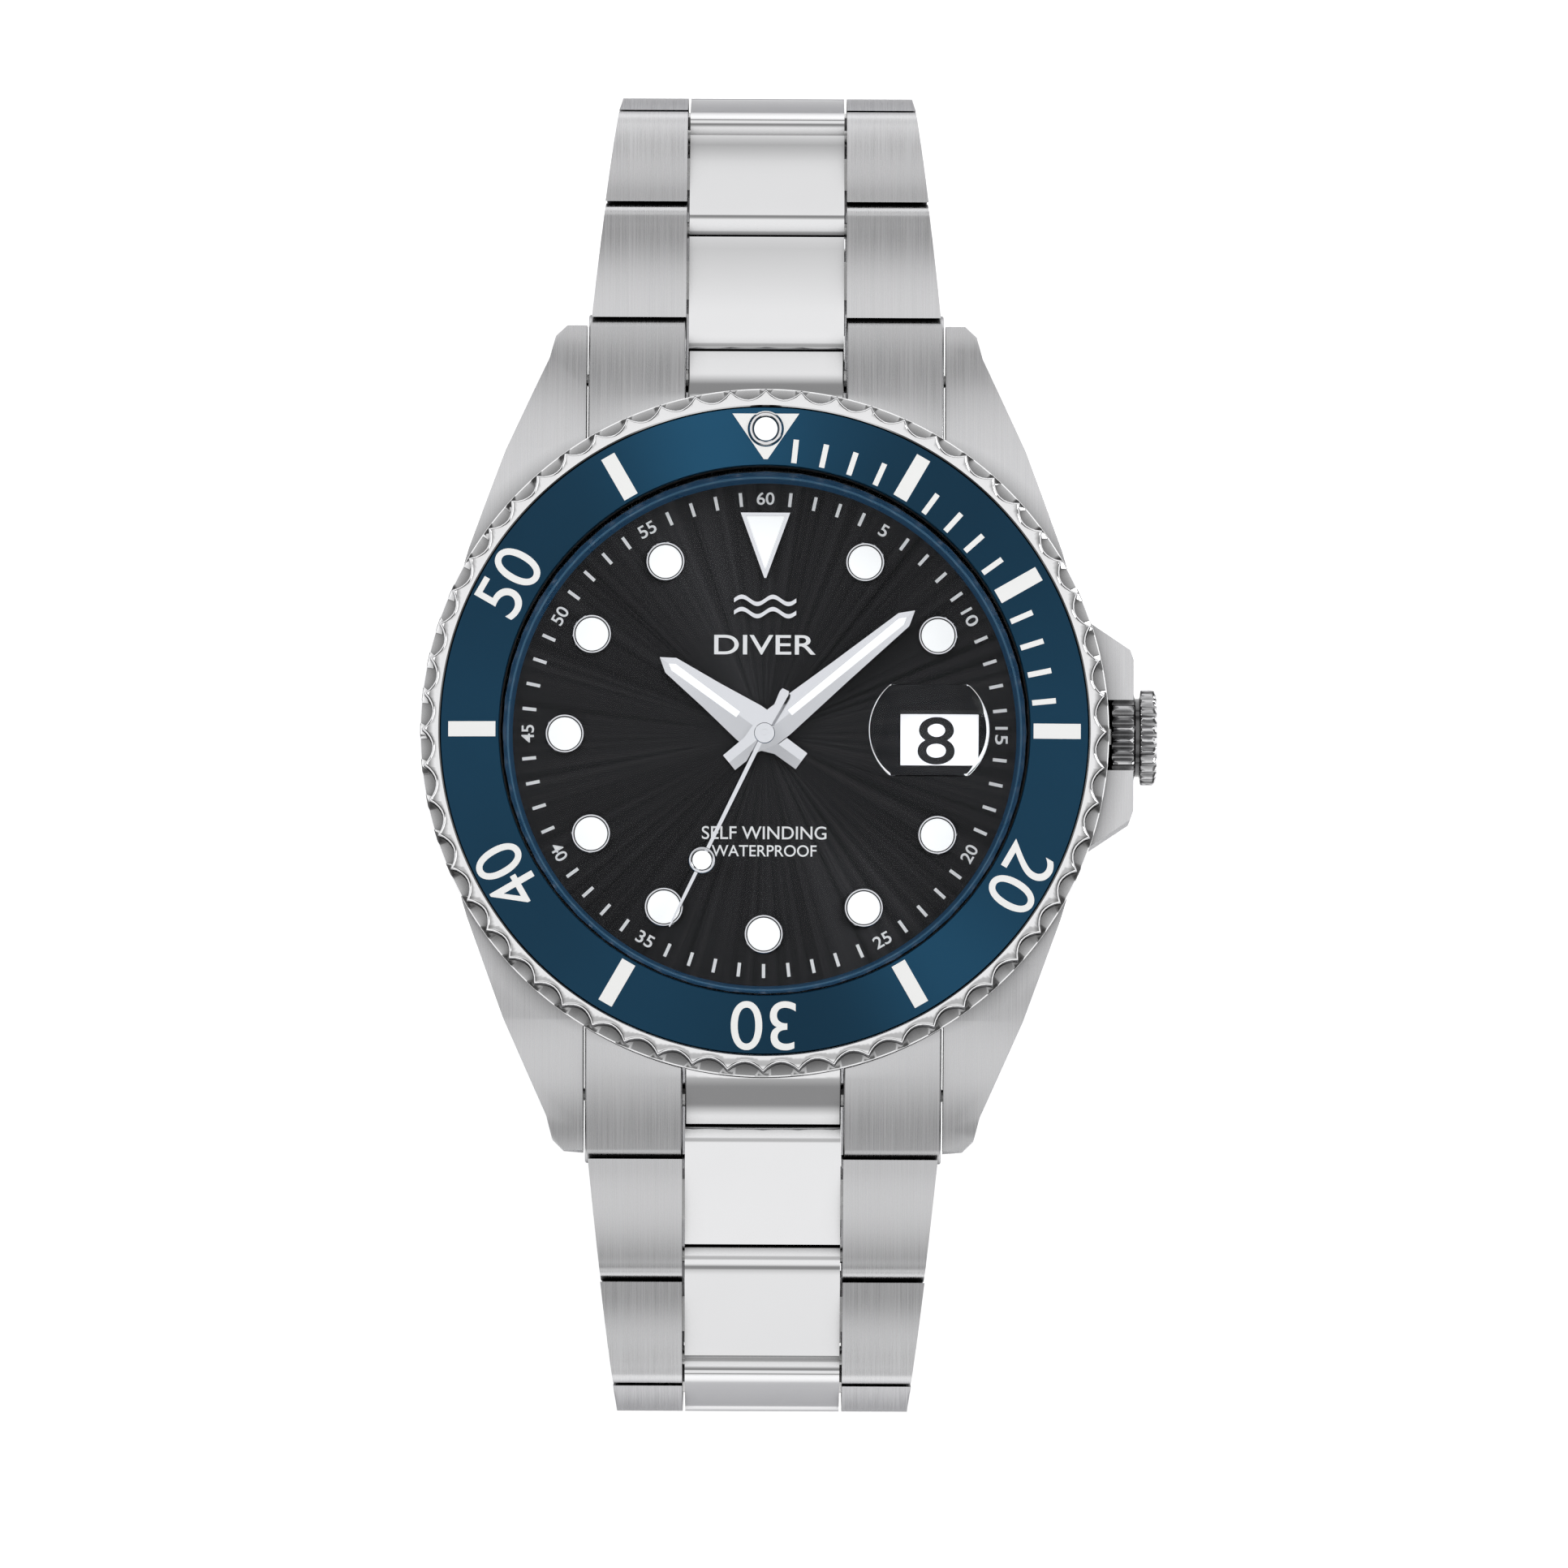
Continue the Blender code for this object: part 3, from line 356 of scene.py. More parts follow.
def sunburst_black():
    """Black dial lacquer over radial brushing, whose rays vary with the angle about the centre."""
    material, nodes, links, shader = new_material("sunburst_black", (0.02, 0.02, 0.022), 0.5, 1)
    tangent = nodes.new("ShaderNodeTangent")
    tangent.direction_type = "RADIAL"
    tangent.axis = "Z"
    links.new(tangent.outputs["Tangent"], shader.inputs["Tangent"])
    shader.inputs["Anisotropic"].default_value = 0.9
    place = nodes.new("ShaderNodeTexCoord")
    flat = nodes.new("ShaderNodeVectorMath")
    flat.operation = "MULTIPLY"
    flat.inputs[1].default_value = (1, 1, 0)
    direction = nodes.new("ShaderNodeVectorMath")
    direction.operation = "NORMALIZE"
    rays = nodes.new("ShaderNodeTexNoise")
    rays.inputs["Scale"].default_value = 20
    rays.inputs["Detail"].default_value = 8
    rays.inputs["Roughness"].default_value = 0.65
    ramp = nodes.new("ShaderNodeValToRGB")
    ramp.color_ramp.elements[0].position, ramp.color_ramp.elements[0].color = 0.3, (0.018, 0.018, 0.019, 1)
    ramp.color_ramp.elements[1].position, ramp.color_ramp.elements[1].color = 0.7, (0.05, 0.05, 0.052, 1)
    links.new(place.outputs["Object"], flat.inputs[0])
    links.new(flat.outputs["Vector"], direction.inputs[0])
    links.new(direction.outputs["Vector"], rays.inputs["Vector"])
    links.new(rays.outputs["Fac"], ramp.inputs["Fac"])
    links.new(ramp.outputs["Color"], shader.inputs["Base Color"])
    return material


def clear(name, passing, reflectance):
    """A clear material: a faint reflection over a shader that lets light through."""
    material, nodes, links, shader = new_material(name, (1, 1, 1), 0.02, 0)
    through = nodes.new(passing)
    through.inputs["Color"].default_value = (0.97, 0.975, 0.985, 1)
    if "IOR" in through.inputs:
        through.inputs["IOR"].default_value = 1.6
        through.inputs["Roughness"].default_value = 0
    gloss = nodes.new("ShaderNodeBsdfGlossy")
    gloss.inputs["Roughness"].default_value = 0.02
    fresnel = nodes.new("ShaderNodeFresnel")
    fresnel.inputs["IOR"].default_value = reflectance
    texture = noise(nodes, links, (300, 300, 300))
    relief = nodes.new("ShaderNodeBump")
    relief.inputs["Strength"].default_value = 0.01
    relief.inputs["Distance"].default_value = 0.01 * MM
    mix = nodes.new("ShaderNodeMixShader")
    links.new(texture.outputs["Fac"], relief.inputs["Height"])
    links.new(relief.outputs["Normal"], gloss.inputs["Normal"])
    links.new(fresnel.outputs["Fac"], mix.inputs["Fac"])
    links.new(through.outputs["BSDF"], mix.inputs[1])
    links.new(gloss.outputs["BSDF"], mix.inputs[2])
    links.new(mix.outputs["Shader"], nodes["Material Output"].inputs["Surface"])
    return material


def make_materials():
    return {
        "brushed_steel": brushed_steel(),
        "polished_steel": polished_steel(),
        "knurled_steel": knurled_steel(),
        "hand_steel": hand_steel(),
        "navy_insert": navy_ceramic(),
        # The flange, the rehaut line, the lume, the white print and the date disc shine with painted light of
        # their own, though none is a lamp.
        "navy_flange": plain("navy_flange", (0.012, 0.055, 0.12), (0.015, 0.065, 0.135), 0.3, 0.3, painted_glow=0.35),
        "rehaut_light": plain("rehaut_light", (0.06, 0.16, 0.27), (0.08, 0.19, 0.3), 0.3, painted_glow=0.3),
        "black_dial": sunburst_black(),
        "white_lume": plain("white_lume", (0.92, 0.94, 0.92), (0.95, 0.96, 0.95), 0.55, painted_glow=0.6),
        "white_print": plain("white_print", (0.86, 0.87, 0.86), (0.9, 0.9, 0.89), 0.45, painted_glow=0.25),
        "black_print": plain("black_print", (0.01, 0.01, 0.01), (0.02, 0.02, 0.02), 0.5),
        "date_disc": plain("date_white", (0.9, 0.9, 0.88), (0.95, 0.95, 0.94), 0.5, painted_glow=0.95),
        "sapphire": clear("sapphire", "ShaderNodeBsdfTransparent", 1.12),
        "lens": clear("lens_glass", "ShaderNodeBsdfRefraction", 1.15),
        "gasket_rubber": plain("gasket_rubber", (0.015, 0.015, 0.015), (0.03, 0.03, 0.03), 0.7, 0, 2000, 0.3),
        "brass": plain("brass", (0.66, 0.48, 0.22), (0.75, 0.57, 0.3), 0.28, 1, 1500, 0.1),
        "movement_steel": plain("movement_steel", (0.58, 0.58, 0.58), (0.68, 0.68, 0.68), 0.3, 1, 1500, 0.1),
    }


MATERIALS = make_materials()
REPLACED = set()


# ---------------------------------------------------------------- mesh helpers


def mm(points):
    """Points given in millimetres, as metres."""
    return [tuple(value * MM for value in point) for point in points]


def polar(radius, degrees):
    return radius * math.cos(math.radians(degrees)), radius * math.sin(math.radians(degrees))


def arc(centre, radius, first, last, count):
    angles = [first + (last - first) * i / (count - 1) for i in range(count)]
    return [(centre[0] + x, centre[1] + y) for x, y in (polar(radius, angle) for angle in angles)]


def piece(name, mesh, body, finish, replaced=(), place=None, bevel=0.0, sharp=35):
    """A piece of the watch: its mesh in place, riding on its body, with its material and bevel."""
    obj = bpy.data.objects.new(name, mesh)
    bpy.context.scene.collection.objects.link(obj)
    obj.matrix_world = place or HEAD
    mesh.materials.clear()
    mesh.materials.append(MATERIALS[finish])
    smooth(mesh, sharp)
    if bevel:
        add_bevel(obj, bevel)
    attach(obj, body)
    if replaced:
        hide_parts(*replaced)
        REPLACED.update(replaced)
    return obj


def smooth(mesh, sharp):
    mesh.shade_smooth()
    mesh.set_sharp_from_angle(angle=math.radians(sharp))


def add_bevel(obj, width, segments=3, angle=30):
    modifier = obj.modifiers.new("bevel", "BEVEL")
    modifier.width = width * MM
    modifier.segments = segments
    modifier.limit_method = "ANGLE"
    modifier.angle_limit = math.radians(angle)
    modifier.harden_normals = True


def lofted(name, loops, closed=False, capped=True):
    """Quads through loops of equal length. Loops are in millimetres."""
    count = len(loops[0])
    points = mm([point for loop in loops for point in loop])
    faces = []
    for i in range(len(loops) if closed else len(loops) - 1):
        after = (i + 1) % len(loops)
        for j in range(count):
            k = (j + 1) % count
            faces.append((i * count + j, i * count + k, after * count + k, after * count + j))
    if capped and not closed:
        faces.append(tuple(range(count))[::-1])
        faces.append(tuple(range((len(loops) - 1) * count, len(loops) * count)))
    mesh = bpy.data.meshes.new(name)
    mesh.from_pydata(points, [], faces)
    tidy(mesh)
    return mesh


def tidy(mesh):
    """Welds the mesh and turns its faces outwards."""
    work = bmesh.new()
    work.from_mesh(mesh)
    bmesh.ops.remove_doubles(work, verts=work.verts, dist=0.001 * MM)
    bmesh.ops.recalc_face_normals(work, faces=work.faces)
    work.to_mesh(mesh)
    work.free()


def lathed(name, profile, count=ROUND, closed=True, centre=(0.0, 0.0)):
    """A (radius, height) profile turned about an axis along Z."""
    loops = []
    for radius, height in profile:
        ring = [polar(radius, 360 * i / count) for i in range(count)]
        loops.append([(centre[0] + x, centre[1] + y, height) for x, y in ring])
    return lofted(name, loops, closed=closed)


def extruded(name, outlines, low, high):
    """Flat outlines in millimetres, filled, as a solid between two heights. Inner loops are holes."""
    curve = bpy.data.curves.new(name, "CURVE")
    curve.dimensions = "2D"
    curve.fill_mode = "BOTH"
    curve.extrude = (high - low) / 2 * MM
    for loop in outlines:
        spline = curve.splines.new("POLY")
        spline.points.add(len(loop) - 1)
        for point, (x, y) in zip(spline.points, loop):
            point.co = (x * MM, y * MM, 0, 1)
        spline.use_cyclic_u = True
    return curve_mesh(name, curve, (low + high) / 2)


def curve_mesh(name, curve, height):
    """A curve's or a text's mesh, welded and lifted to a height in millimetres."""
    source = bpy.data.objects.new(name, curve)
    bpy.context.scene.collection.objects.link(source)
    bpy.context.view_layer.update()
    mesh = bpy.data.meshes.new_from_object(source.evaluated_get(bpy.context.evaluated_depsgraph_get()))
    bpy.data.objects.remove(source)
    mesh.transform(Matrix.Translation((0, 0, height * MM)))
    tidy(mesh)
    return mesh


def turned_outline(outline, degrees):
    """An outline turned clockwise from twelve o'clock."""
    cos, sin = math.cos(math.radians(degrees)), math.sin(math.radians(degrees))
    return [(x * cos + y * sin, -x * sin + y * cos) for x, y in outline]


def settle(mesh, height_at):
    """Lays a mesh made about height 0 on a surface whose height depends on the radius."""
    for vertex in mesh.vertices:
        vertex.co.z += height_at(math.hypot(vertex.co.x, vertex.co.y) / MM) * MM
    return mesh


def insert_height(radius):
    share = (radius - INSERT_INNER) / (INSERT_OUTER - INSERT_INNER)
    return INSERT_HIGH + (INSERT_LOW - INSERT_HIGH) * share


def dial_height(radius):
    """The dial is flat, so its height is the same at every radius."""
    return DIAL_TOP


def lettering(text, width, height, thick=0.03, bold=0.0):
    """Text centred on the origin and stretched to a width and a height in millimetres."""
    font = bpy.data.curves.new("text", "FONT")
    font.body = text
    font.offset = bold
    font.extrude = thick / 2
    mesh = curve_mesh("text", font, 0)
    points = [vertex.co for vertex in mesh.vertices]
    low = Vector((min(p.x for p in points), min(p.y for p in points), 0))
    high = Vector((max(p.x for p in points), max(p.y for p in points), 0))
    middle = (low + high) / 2
    mesh.transform(Matrix.Translation(-middle))
    scale = (width * MM / (high.x - low.x), height * MM / (high.y - low.y), MM, 1)
    mesh.transform(Matrix.Diagonal(scale))
    return mesh


def joined(name, meshes):
    """One mesh from several."""
    work = bmesh.new()
    for mesh in meshes:
        work.from_mesh(mesh)
    result = bpy.data.meshes.new(name)
    work.to_mesh(result)
    work.free()
    return result


def clock_place(radius, minute, outward=True):
    """The turn and place of something printed at a minute of the dial."""
    degrees = -6.0 * minute
    spin = Matrix.Rotation(math.radians(degrees), 4, "Z")
    flip = Matrix.Identity(4) if outward else Matrix.Rotation(math.pi, 4, "Z")
    return spin @ Matrix.Translation((0, radius * MM, 0)) @ flip


def rectangle(low, high):
    return [(low[0], low[1]), (high[0], low[1]), (high[0], high[1]), (low[0], high[1])]


def bar(width, low, high):
    """A bar that points away from the centre of the dial."""
    return rectangle((-width / 2, low), (width / 2, high))


# ---------------------------------------------------------------- bezel


def coin_loop(base, depth, height):
    """A level of the bezel's coin edge: hollows of a depth between narrow peaks."""
    steps = 8
    count = steps * SCALLOPS
    loop = []
    for i in range(count):
        hollow = math.sin(math.pi * (i % steps) / steps) ** 0.8
        x, y = polar(base - depth * hollow, 90 + 360 * i / count)
        loop.append((x, y, height))
    return loop


def make_bezel():
    make_bezel_ring()
    make_insert()
    make_insert_marks()
    make_insert_numbers()
    make_pearl()


def make_bezel_ring():
    """The ring's section from its inner foot outwards: radius, depth of the scallops, height."""
    levels = [
        (17.85, 0, 7.95),
        (20.9, 0, 7.95),
        (21.0, 0, 8.05),
        (21.0, 0, 8.62),
        (20.93, 0, 8.7),
        (20.86, 0.6, 8.78),
        (20.84, 0.62, 8.9),
        (20.84, 0.62, 10.72),
        (20.8, 0.61, 10.86),
        (20.72, 0.6, 10.96),
        (20.62, 0.58, 11.0),
        (19.83, 0, 11.0),
        (19.75, 0, 10.93),
        (19.75, 0, 10.2),
        (17.85, 0, 10.2),
    ]
    ring = lofted("bezel_coin_ring", [coin_loop(*level) for level in levels], closed=True)
    piece("bezel_coin_ring", ring, "bezel", "polished_steel", ("bezel_ring",))


def make_insert():
    face = [(INSERT_INNER, 10.5), (INSERT_INNER, 11.1), (INSERT_INNER + 0.06, INSERT_HIGH)]
    face += [(INSERT_OUTER - 0.05, INSERT_LOW), (INSERT_OUTER, INSERT_LOW - 0.05), (INSERT_OUTER, 10.3)]
    insert = lathed("bezel_insert_disc", face)
    piece("bezel_insert_disc", insert, "bezel", "navy_insert", ("bezel_insert",))


def make_insert_marks():
    """Bars, the ticks of the first quarter, and the triangle with its hole for the pearl."""
    bars = [turned_outline(bar(0.92, MARK_INNER, MARK_OUTER), 6 * m) for m in (5, 10, 15, 25, 35, 45, 55)]
    ticks = [turned_outline(bar(0.33, MARK_INNER, TICK_OUTER), 6 * m) for m in range(1, 15) if m % 5]
    triangle = [(-2.035, 19.3), (2.035, 19.3), (0.12, NUMBER_INNER), (-0.12, NUMBER_INNER)]
    hole = ring_outline(1.1, 48, (0.0, PEARL_R))
    marks = settle(extruded("bezel_marks", bars + ticks + [triangle, hole], 0, PRINT), insert_height)
    piece("bezel_marks", marks, "bezel", "white_print")


def make_insert_numbers():
    numbers = []
    for minute in (20, 30, 40, 50):
        number = lettering(str(minute), 3.94, 2.97, PRINT)
        number.transform(clock_place((NUMBER_INNER + NUMBER_OUTER) / 2, minute))
        numbers.append(settle(number, insert_height))
    piece("bezel_numbers", joined("bezel_numbers", numbers), "bezel", "white_print")


def make_pearl():
    """The luminous pearl in its steel rim."""
    section = [(0.78, 10.9), (0.78, 11.14), (0.84, 11.19), (0.96, 11.19), (1.02, 11.12), (1.02, 10.9)]
    rim = lathed("pearl_rim", section, SMALL_ROUND)
    place = Matrix.Translation((0, PEARL_R * MM, HEAD_Z))
    piece("pearl_rim", rim, "bezel", "knurled_steel", (), place)
    dome = [(0.001, 11.17), (0.3, 11.16), (0.55, 11.13), (0.7, 11.08), (0.72, 10.9), (0.001, 10.9)]
    pearl = lathed("pearl_lume", dome, SMALL_ROUND, closed=False)
    piece("pearl_lume", pearl, "bezel", "white_lume", ("bezel_pearl",), place)


# ---------------------------------------------------------------- crystal and case


def make_crystal():
    profile = [(0.001, 11.4), (15.55, 11.4), (15.65, 11.37), (16.0, 10.95), (16.02, 10.88), (16.02, 8.95)]
    crystal = lathed("crystal_disc", profile + [(0.001, 8.95)], closed=False)
    piece("crystal_disc", crystal, "case", "sapphire", ("crystal",))
    make_magnifier()


def make_magnifier():
    """A round lens with two flats, domed on top."""
    radius, half_height, curve_r, edge, count = 3.66, 2.8, 10.26, 0.14, 180
    sag = curve_r - math.sqrt(curve_r**2 - radius**2)

    def rim_at(degrees):
        reach = abs(math.sin(math.radians(degrees)))
        return min(radius, half_height / reach) if reach > 0.01 else radius

    def loop(share, height):
        result = []
        for i in range(count):
            degrees = 360 * i / count
            x, y = polar(rim_at(degrees) * share, degrees)
            dome = edge + sag - (curve_r - math.sqrt(curve_r**2 - x * x - y * y))
            result.append((x, y, dome if height is None else height))
        return result

    shares = [0.004] + [i / 16 for i in range(1, 16)] + [0.985]
    loops = [loop(share, None) for share in shares]
    loops += [loop(1.0, edge * 0.6), loop(1.0, 0.0), loop(0.004, 0.0)]
    lens = lofted("date_lens", loops)
    low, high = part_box("date_magnifier")
    place = Matrix.Translation(((low.x + high.x) / 2, 0, low.z))
    piece("date_lens", lens, "case", "lens", ("date_magnifier",), place)


def soften_group(sharp=28):
    """A modifier that shades faces smooth and keeps the edges over an angle sharp."""
    group = bpy.data.node_groups.new("soften", "GeometryNodeTree")
    group.interface.new_socket("Geometry", in_out="INPUT", socket_type="NodeSocketGeometry")
    group.interface.new_socket("Geometry", in_out="OUTPUT", socket_type="NodeSocketGeometry")
    nodes, links = group.nodes, group.links
    start, end = nodes.new("NodeGroupInput"), nodes.new("NodeGroupOutput")
    faces, edges = nodes.new("GeometryNodeSetShadeSmooth"), nodes.new("GeometryNodeSetShadeSmooth")
    faces.domain, edges.domain = "FACE", "EDGE"
    angle = nodes.new("GeometryNodeInputMeshEdgeAngle")
    gentle = nodes.new("FunctionNodeCompare")
    gentle.data_type, gentle.operation = "FLOAT", "LESS_THAN"
    gentle.inputs[1].default_value = math.radians(sharp)
    links.new(start.outputs[0], faces.inputs["Geometry"])
    links.new(faces.outputs[0], edges.inputs["Geometry"])
    links.new(angle.outputs["Unsigned Angle"], gentle.inputs[0])
    links.new(gentle.outputs[0], edges.inputs["Shade Smooth"])
    links.new(edges.outputs[0], end.inputs[0])
    return group


SOFTEN = soften_group()


def refine_node(name, finish, bevel=0.0):
    """Gives a CAD node its material, a smooth surface and worn edges."""
    obj = NODES[name]
    obj.data.materials.clear()
    obj.data.materials.append(MATERIALS[finish])
    weld = obj.modifiers.new("weld", "WELD")
    weld.merge_threshold = 0.002 * MM
    soften = obj.modifiers.new("soften", "NODES")
    soften.node_group = SOFTEN
    if bevel:
        add_bevel(obj, bevel)


def make_case():
    back = [(0.001, 0.0), (15.2, 0.0), (15.4, 0.08), (16.9, 0.25), (17.5, 0.6), (17.6, 0.75), (17.6, 1.2)]
    back += [(16.05, 1.2), (16.05, 2.7), (15.3, 2.7), (15.3, 0.85), (0.001, 0.85)]
    disc = lathed("case_back_disc", back, closed=False)
    piece("case_back_disc", disc, "case", "polished_steel", ("case_back",))


# ---------------------------------------------------------------- crown


def tooth_loop(x, radius, depth, teeth=26, each=10):
    """A section of the crown across X, with teeth of a depth."""
    loop = []
    for i in range(teeth * each):
        wave = 0.5 - 0.5 * math.cos(2 * math.pi * i / each)
        y, z = polar(radius - depth * wave**0.7, 360 * i / (teeth * each))
        loop.append((x, y, z))
    return loop


def make_crown():
    sections = [
        (21.15, 2.7, 0), (21.2, 3.05, 0.3), (21.3, 3.15, 0.42), (22.42, 3.15, 0.42), (22.52, 3.05, 0.3),
        (22.58, 2.5, 0), (22.64, 2.41, 0), (22.88, 2.41, 0), (22.93, 2.6, 0), (22.96, 2.85, 0.2),
        (23.02, 2.93, 0.32), (23.66, 2.93, 0.32), (23.8, 2.86, 0.26), (23.92, 2.66, 0.06), (24.0, 2.4, 0),
        (24.06, 1.9, 0), (24.09, 1.2, 0), (24.1, 0.01, 0),
    ]
    crown = lofted("crown_knurled", [tooth_loop(*section) for section in sections])
    low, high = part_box("crown")
    place = Matrix.Translation((0, 0, (low.z + high.z) / 2))
    piece("crown_knurled", crown, "crown", "knurled_steel", ("crown",), place)


# ---------------------------------------------------------------- dial


def ring_outline(radius, count=SMALL_ROUND, centre=(0.0, 0.0)):
    return arc(centre, radius, 0, 360 - 360 / count, count)


def make_dial():
    make_flange()
    make_minute_track()
    make_dial_numbers()
    make_markers()
    make_emblem()
    make_dial_text()
    make_date()


def make_flange():
    """The blue flange and the light line that runs round its slope."""
    flange = lathed("rehaut", [(15.38, 6.5), (15.9, 8.25), (16.15, 8.25), (16.15, 6.5)])
    piece("rehaut", flange, "case", "navy_flange", ("dial_flange",))
    line = lathed("rehaut_line", [(15.62, 7.35), (15.6, 7.4), (15.68, 7.66), (15.72, 7.62)])
    piece("rehaut_line", line, "case", "rehaut_light")


def make_minute_track():
    ticks = [turned_outline(bar(0.2, TRACK_INNER, TRACK_OUTER), 6 * m) for m in range(60) if m % 5 or m == 30]
    print_mesh = settle(extruded("minute_track", ticks, 0, PRINT), dial_height)
    piece("minute_track", print_mesh, "case", "white_print")


def make_dial_text():
    lines = []
    for text, width, height, y in (
        ("DIVER", 6.2, 1.2, 5.5),
        ("SELF WINDING", 7.6, 0.8, -6.0),
        ("WATERPROOF", 6.4, 0.7, -7.1),
    ):
        mesh = lettering(text, width, height, PRINT, 0.006)
        mesh.transform(Matrix.Translation((0, y * MM, 0)))
        lines.append(settle(mesh, dial_height))
    piece("dial_text", joined("dial_text", lines), "case", "white_print")


def make_dial_numbers():
    """Small minutes between the ticks, turned to be read from below in the lower half."""
    numbers = []
    for minute in (60, 5, 10, 15, 20, 25, 35, 40, 45, 50, 55):
        outward = minute not in (20, 25, 35, 40)
        number = lettering(str(minute), 0.5 if minute == 5 else 1.08, 0.77, PRINT, 0.012)
        number.transform(clock_place(14.46, minute % 60, outward))
        numbers.append(settle(number, dial_height))
    piece("dial_numbers", joined("dial_numbers", numbers), "case", "white_print")


def make_markers():
    """Ten applied round markers and the triangle at twelve, each a steel rim round lume."""
    base = APPLIED_BASE
    rim_profile = [(1.06, base), (1.06, 6.78), (1.09, 6.83), (1.15, 6.83), (1.2, 6.77), (1.2, base)]
    lume_profile = [(0.001, 6.74), (0.7, 6.73), (1.0, 6.69), (1.0, base), (0.001, base)]
    rims, lumes = [], []
    for hour in (1, 2, 4, 5, 6, 7, 8, 9, 10, 11):
        centre = turned_outline([(0, MARKER_R)], 30 * hour)[0]
        rims.append(lathed("rim", rim_profile, SMALL_ROUND, centre=centre))
        lumes.append(lathed("lume", lume_profile, SMALL_ROUND, closed=False, centre=centre))
    outer = [(-1.515, 13.57), (1.515, 13.57), (0.06, 9.57), (-0.06, 9.57)]
    inner = [(-1.2, 13.37), (1.2, 13.37), (0.03, 10.1), (-0.03, 10.1)]
    rims.append(extruded("rim", [outer, inner], base, 6.83))
    lumes.append(extruded("lume", [inner], base, 6.74))
    piece("marker_rims", joined("marker_rims", rims), "case", "polished_steel")
    piece("marker_lume", joined("marker_lume", lumes), "case", "white_lume")


def make_emblem():
    """Two applied waves below twelve o'clock."""
    steps, half, rise, half_thick = 32, 1.9, 0.22, 0.13
    xs = [-half + 2 * half * i / steps for i in range(steps + 1)]
    waves = []
    for middle in (7.45, 8.2):
        crest = [(x, middle + rise * math.sin(2 * math.pi * x / half)) for x in xs]
        outline = [(x, y + half_thick) for x, y in crest] + [(x, y - half_thick) for x, y in crest[::-1]]
        waves.append(extruded("wave", [outline], APPLIED_BASE, 6.75))
    piece("emblem_waves", joined("emblem_waves", waves), "case", "polished_steel")


def make_date():
    """The date window's frame, the date disc and the numbers on it."""
    inner = rectangle((8.86, -1.14), (12.1, 0.98))
    outer = rectangle((8.83, -1.17), (12.17, 1.17))
    window = extruded("date_frame", [outer, inner], 6.25, APPLIED_BASE)
    piece("date_frame", window, "case", "black_print")
    disc = [(7.5, 5.55), (7.5, 5.75), (13.5, 5.75), (13.5, 5.55)]
    piece("date_ring", lathed("date_ring", disc), "date_disc", "date_disc", ("date_disc",))
    numbers = []
    for day in range(1, DATE_DAYS + 1):
        width = 0.6 if day == 1 else 1.45 if day < 10 else 2.2
        number = lettering(str(day), width, 1.85, PRINT, 0.004)
        spin = Matrix.Rotation(math.radians((DATE_SHOWN - day) * 360 / DATE_DAYS), 4, "Z")
        number.transform(spin @ Matrix.Translation((10.33 * MM, -0.05 * MM, 5.77 * MM)))
        numbers.append(number)
    piece("date_numbers", joined("date_numbers", numbers), "date_disc", "black_print")


# ---------------------------------------------------------------- hands


def ridge_hand(name, outline, low, edge, ridge, body, angle, replaced):
    """A hand with two facets that meet in a ridge. The outline is its right half, tip first."""
    slope = (ridge - edge) / max(x for x, _ in outline)
    loops = [
        [(-x, y, low), (-x, y, edge), (0, y, edge + slope * x), (x, y, edge), (x, y, low)] for x, y in outline
    ]
    mesh = lofted(name, loops)
    place = HEAD @ Matrix.Rotation(-angle, 4, "Z")
    piece(name, mesh, body, "hand_steel", replaced, place, sharp=5)
    return place


def make_hands():
    hour = [(0.01, 7.93), (0.565, 7.1), (0.9, 4.0), (1.28, 1.2), (1.3, 0.4), (0.62, -1.2), (0.6, -2.8)]
    place = ridge_hand("hour_blade", hour, 7.0, 7.04, 7.22, "hours", HOUR_ANGLE, ("hour_hand",))
    strip = [(-0.2, 2.0), (0.2, 2.0), (0.235, 6.9), (0, 7.25), (-0.235, 6.9)]
    lume = extruded("hour_lume", [strip], 7.1, 7.25)
    piece("hour_lume", lume, "hours", "white_lume", (), place)
    minute = [(0.01, 11.87), (0.515, 11.0), (0.75, 6.0), (1.03, 1.2), (1.0, 0.3), (0.6, -1.1), (0.58, -2.8)]
    place = ridge_hand("minute_blade", minute, 7.45, 7.49, 7.63, "minutes", MINUTE_ANGLE, ("minute_hand",))
    strip = [(-0.2, 2.0), (0.2, 2.0), (0.235, 10.8), (0, 11.2), (-0.235, 10.8)]
    lume = extruded("minute_lume", [strip], 7.52, 7.66)
    piece("minute_lume", lume, "minutes", "white_lume", (), place)
    make_seconds()


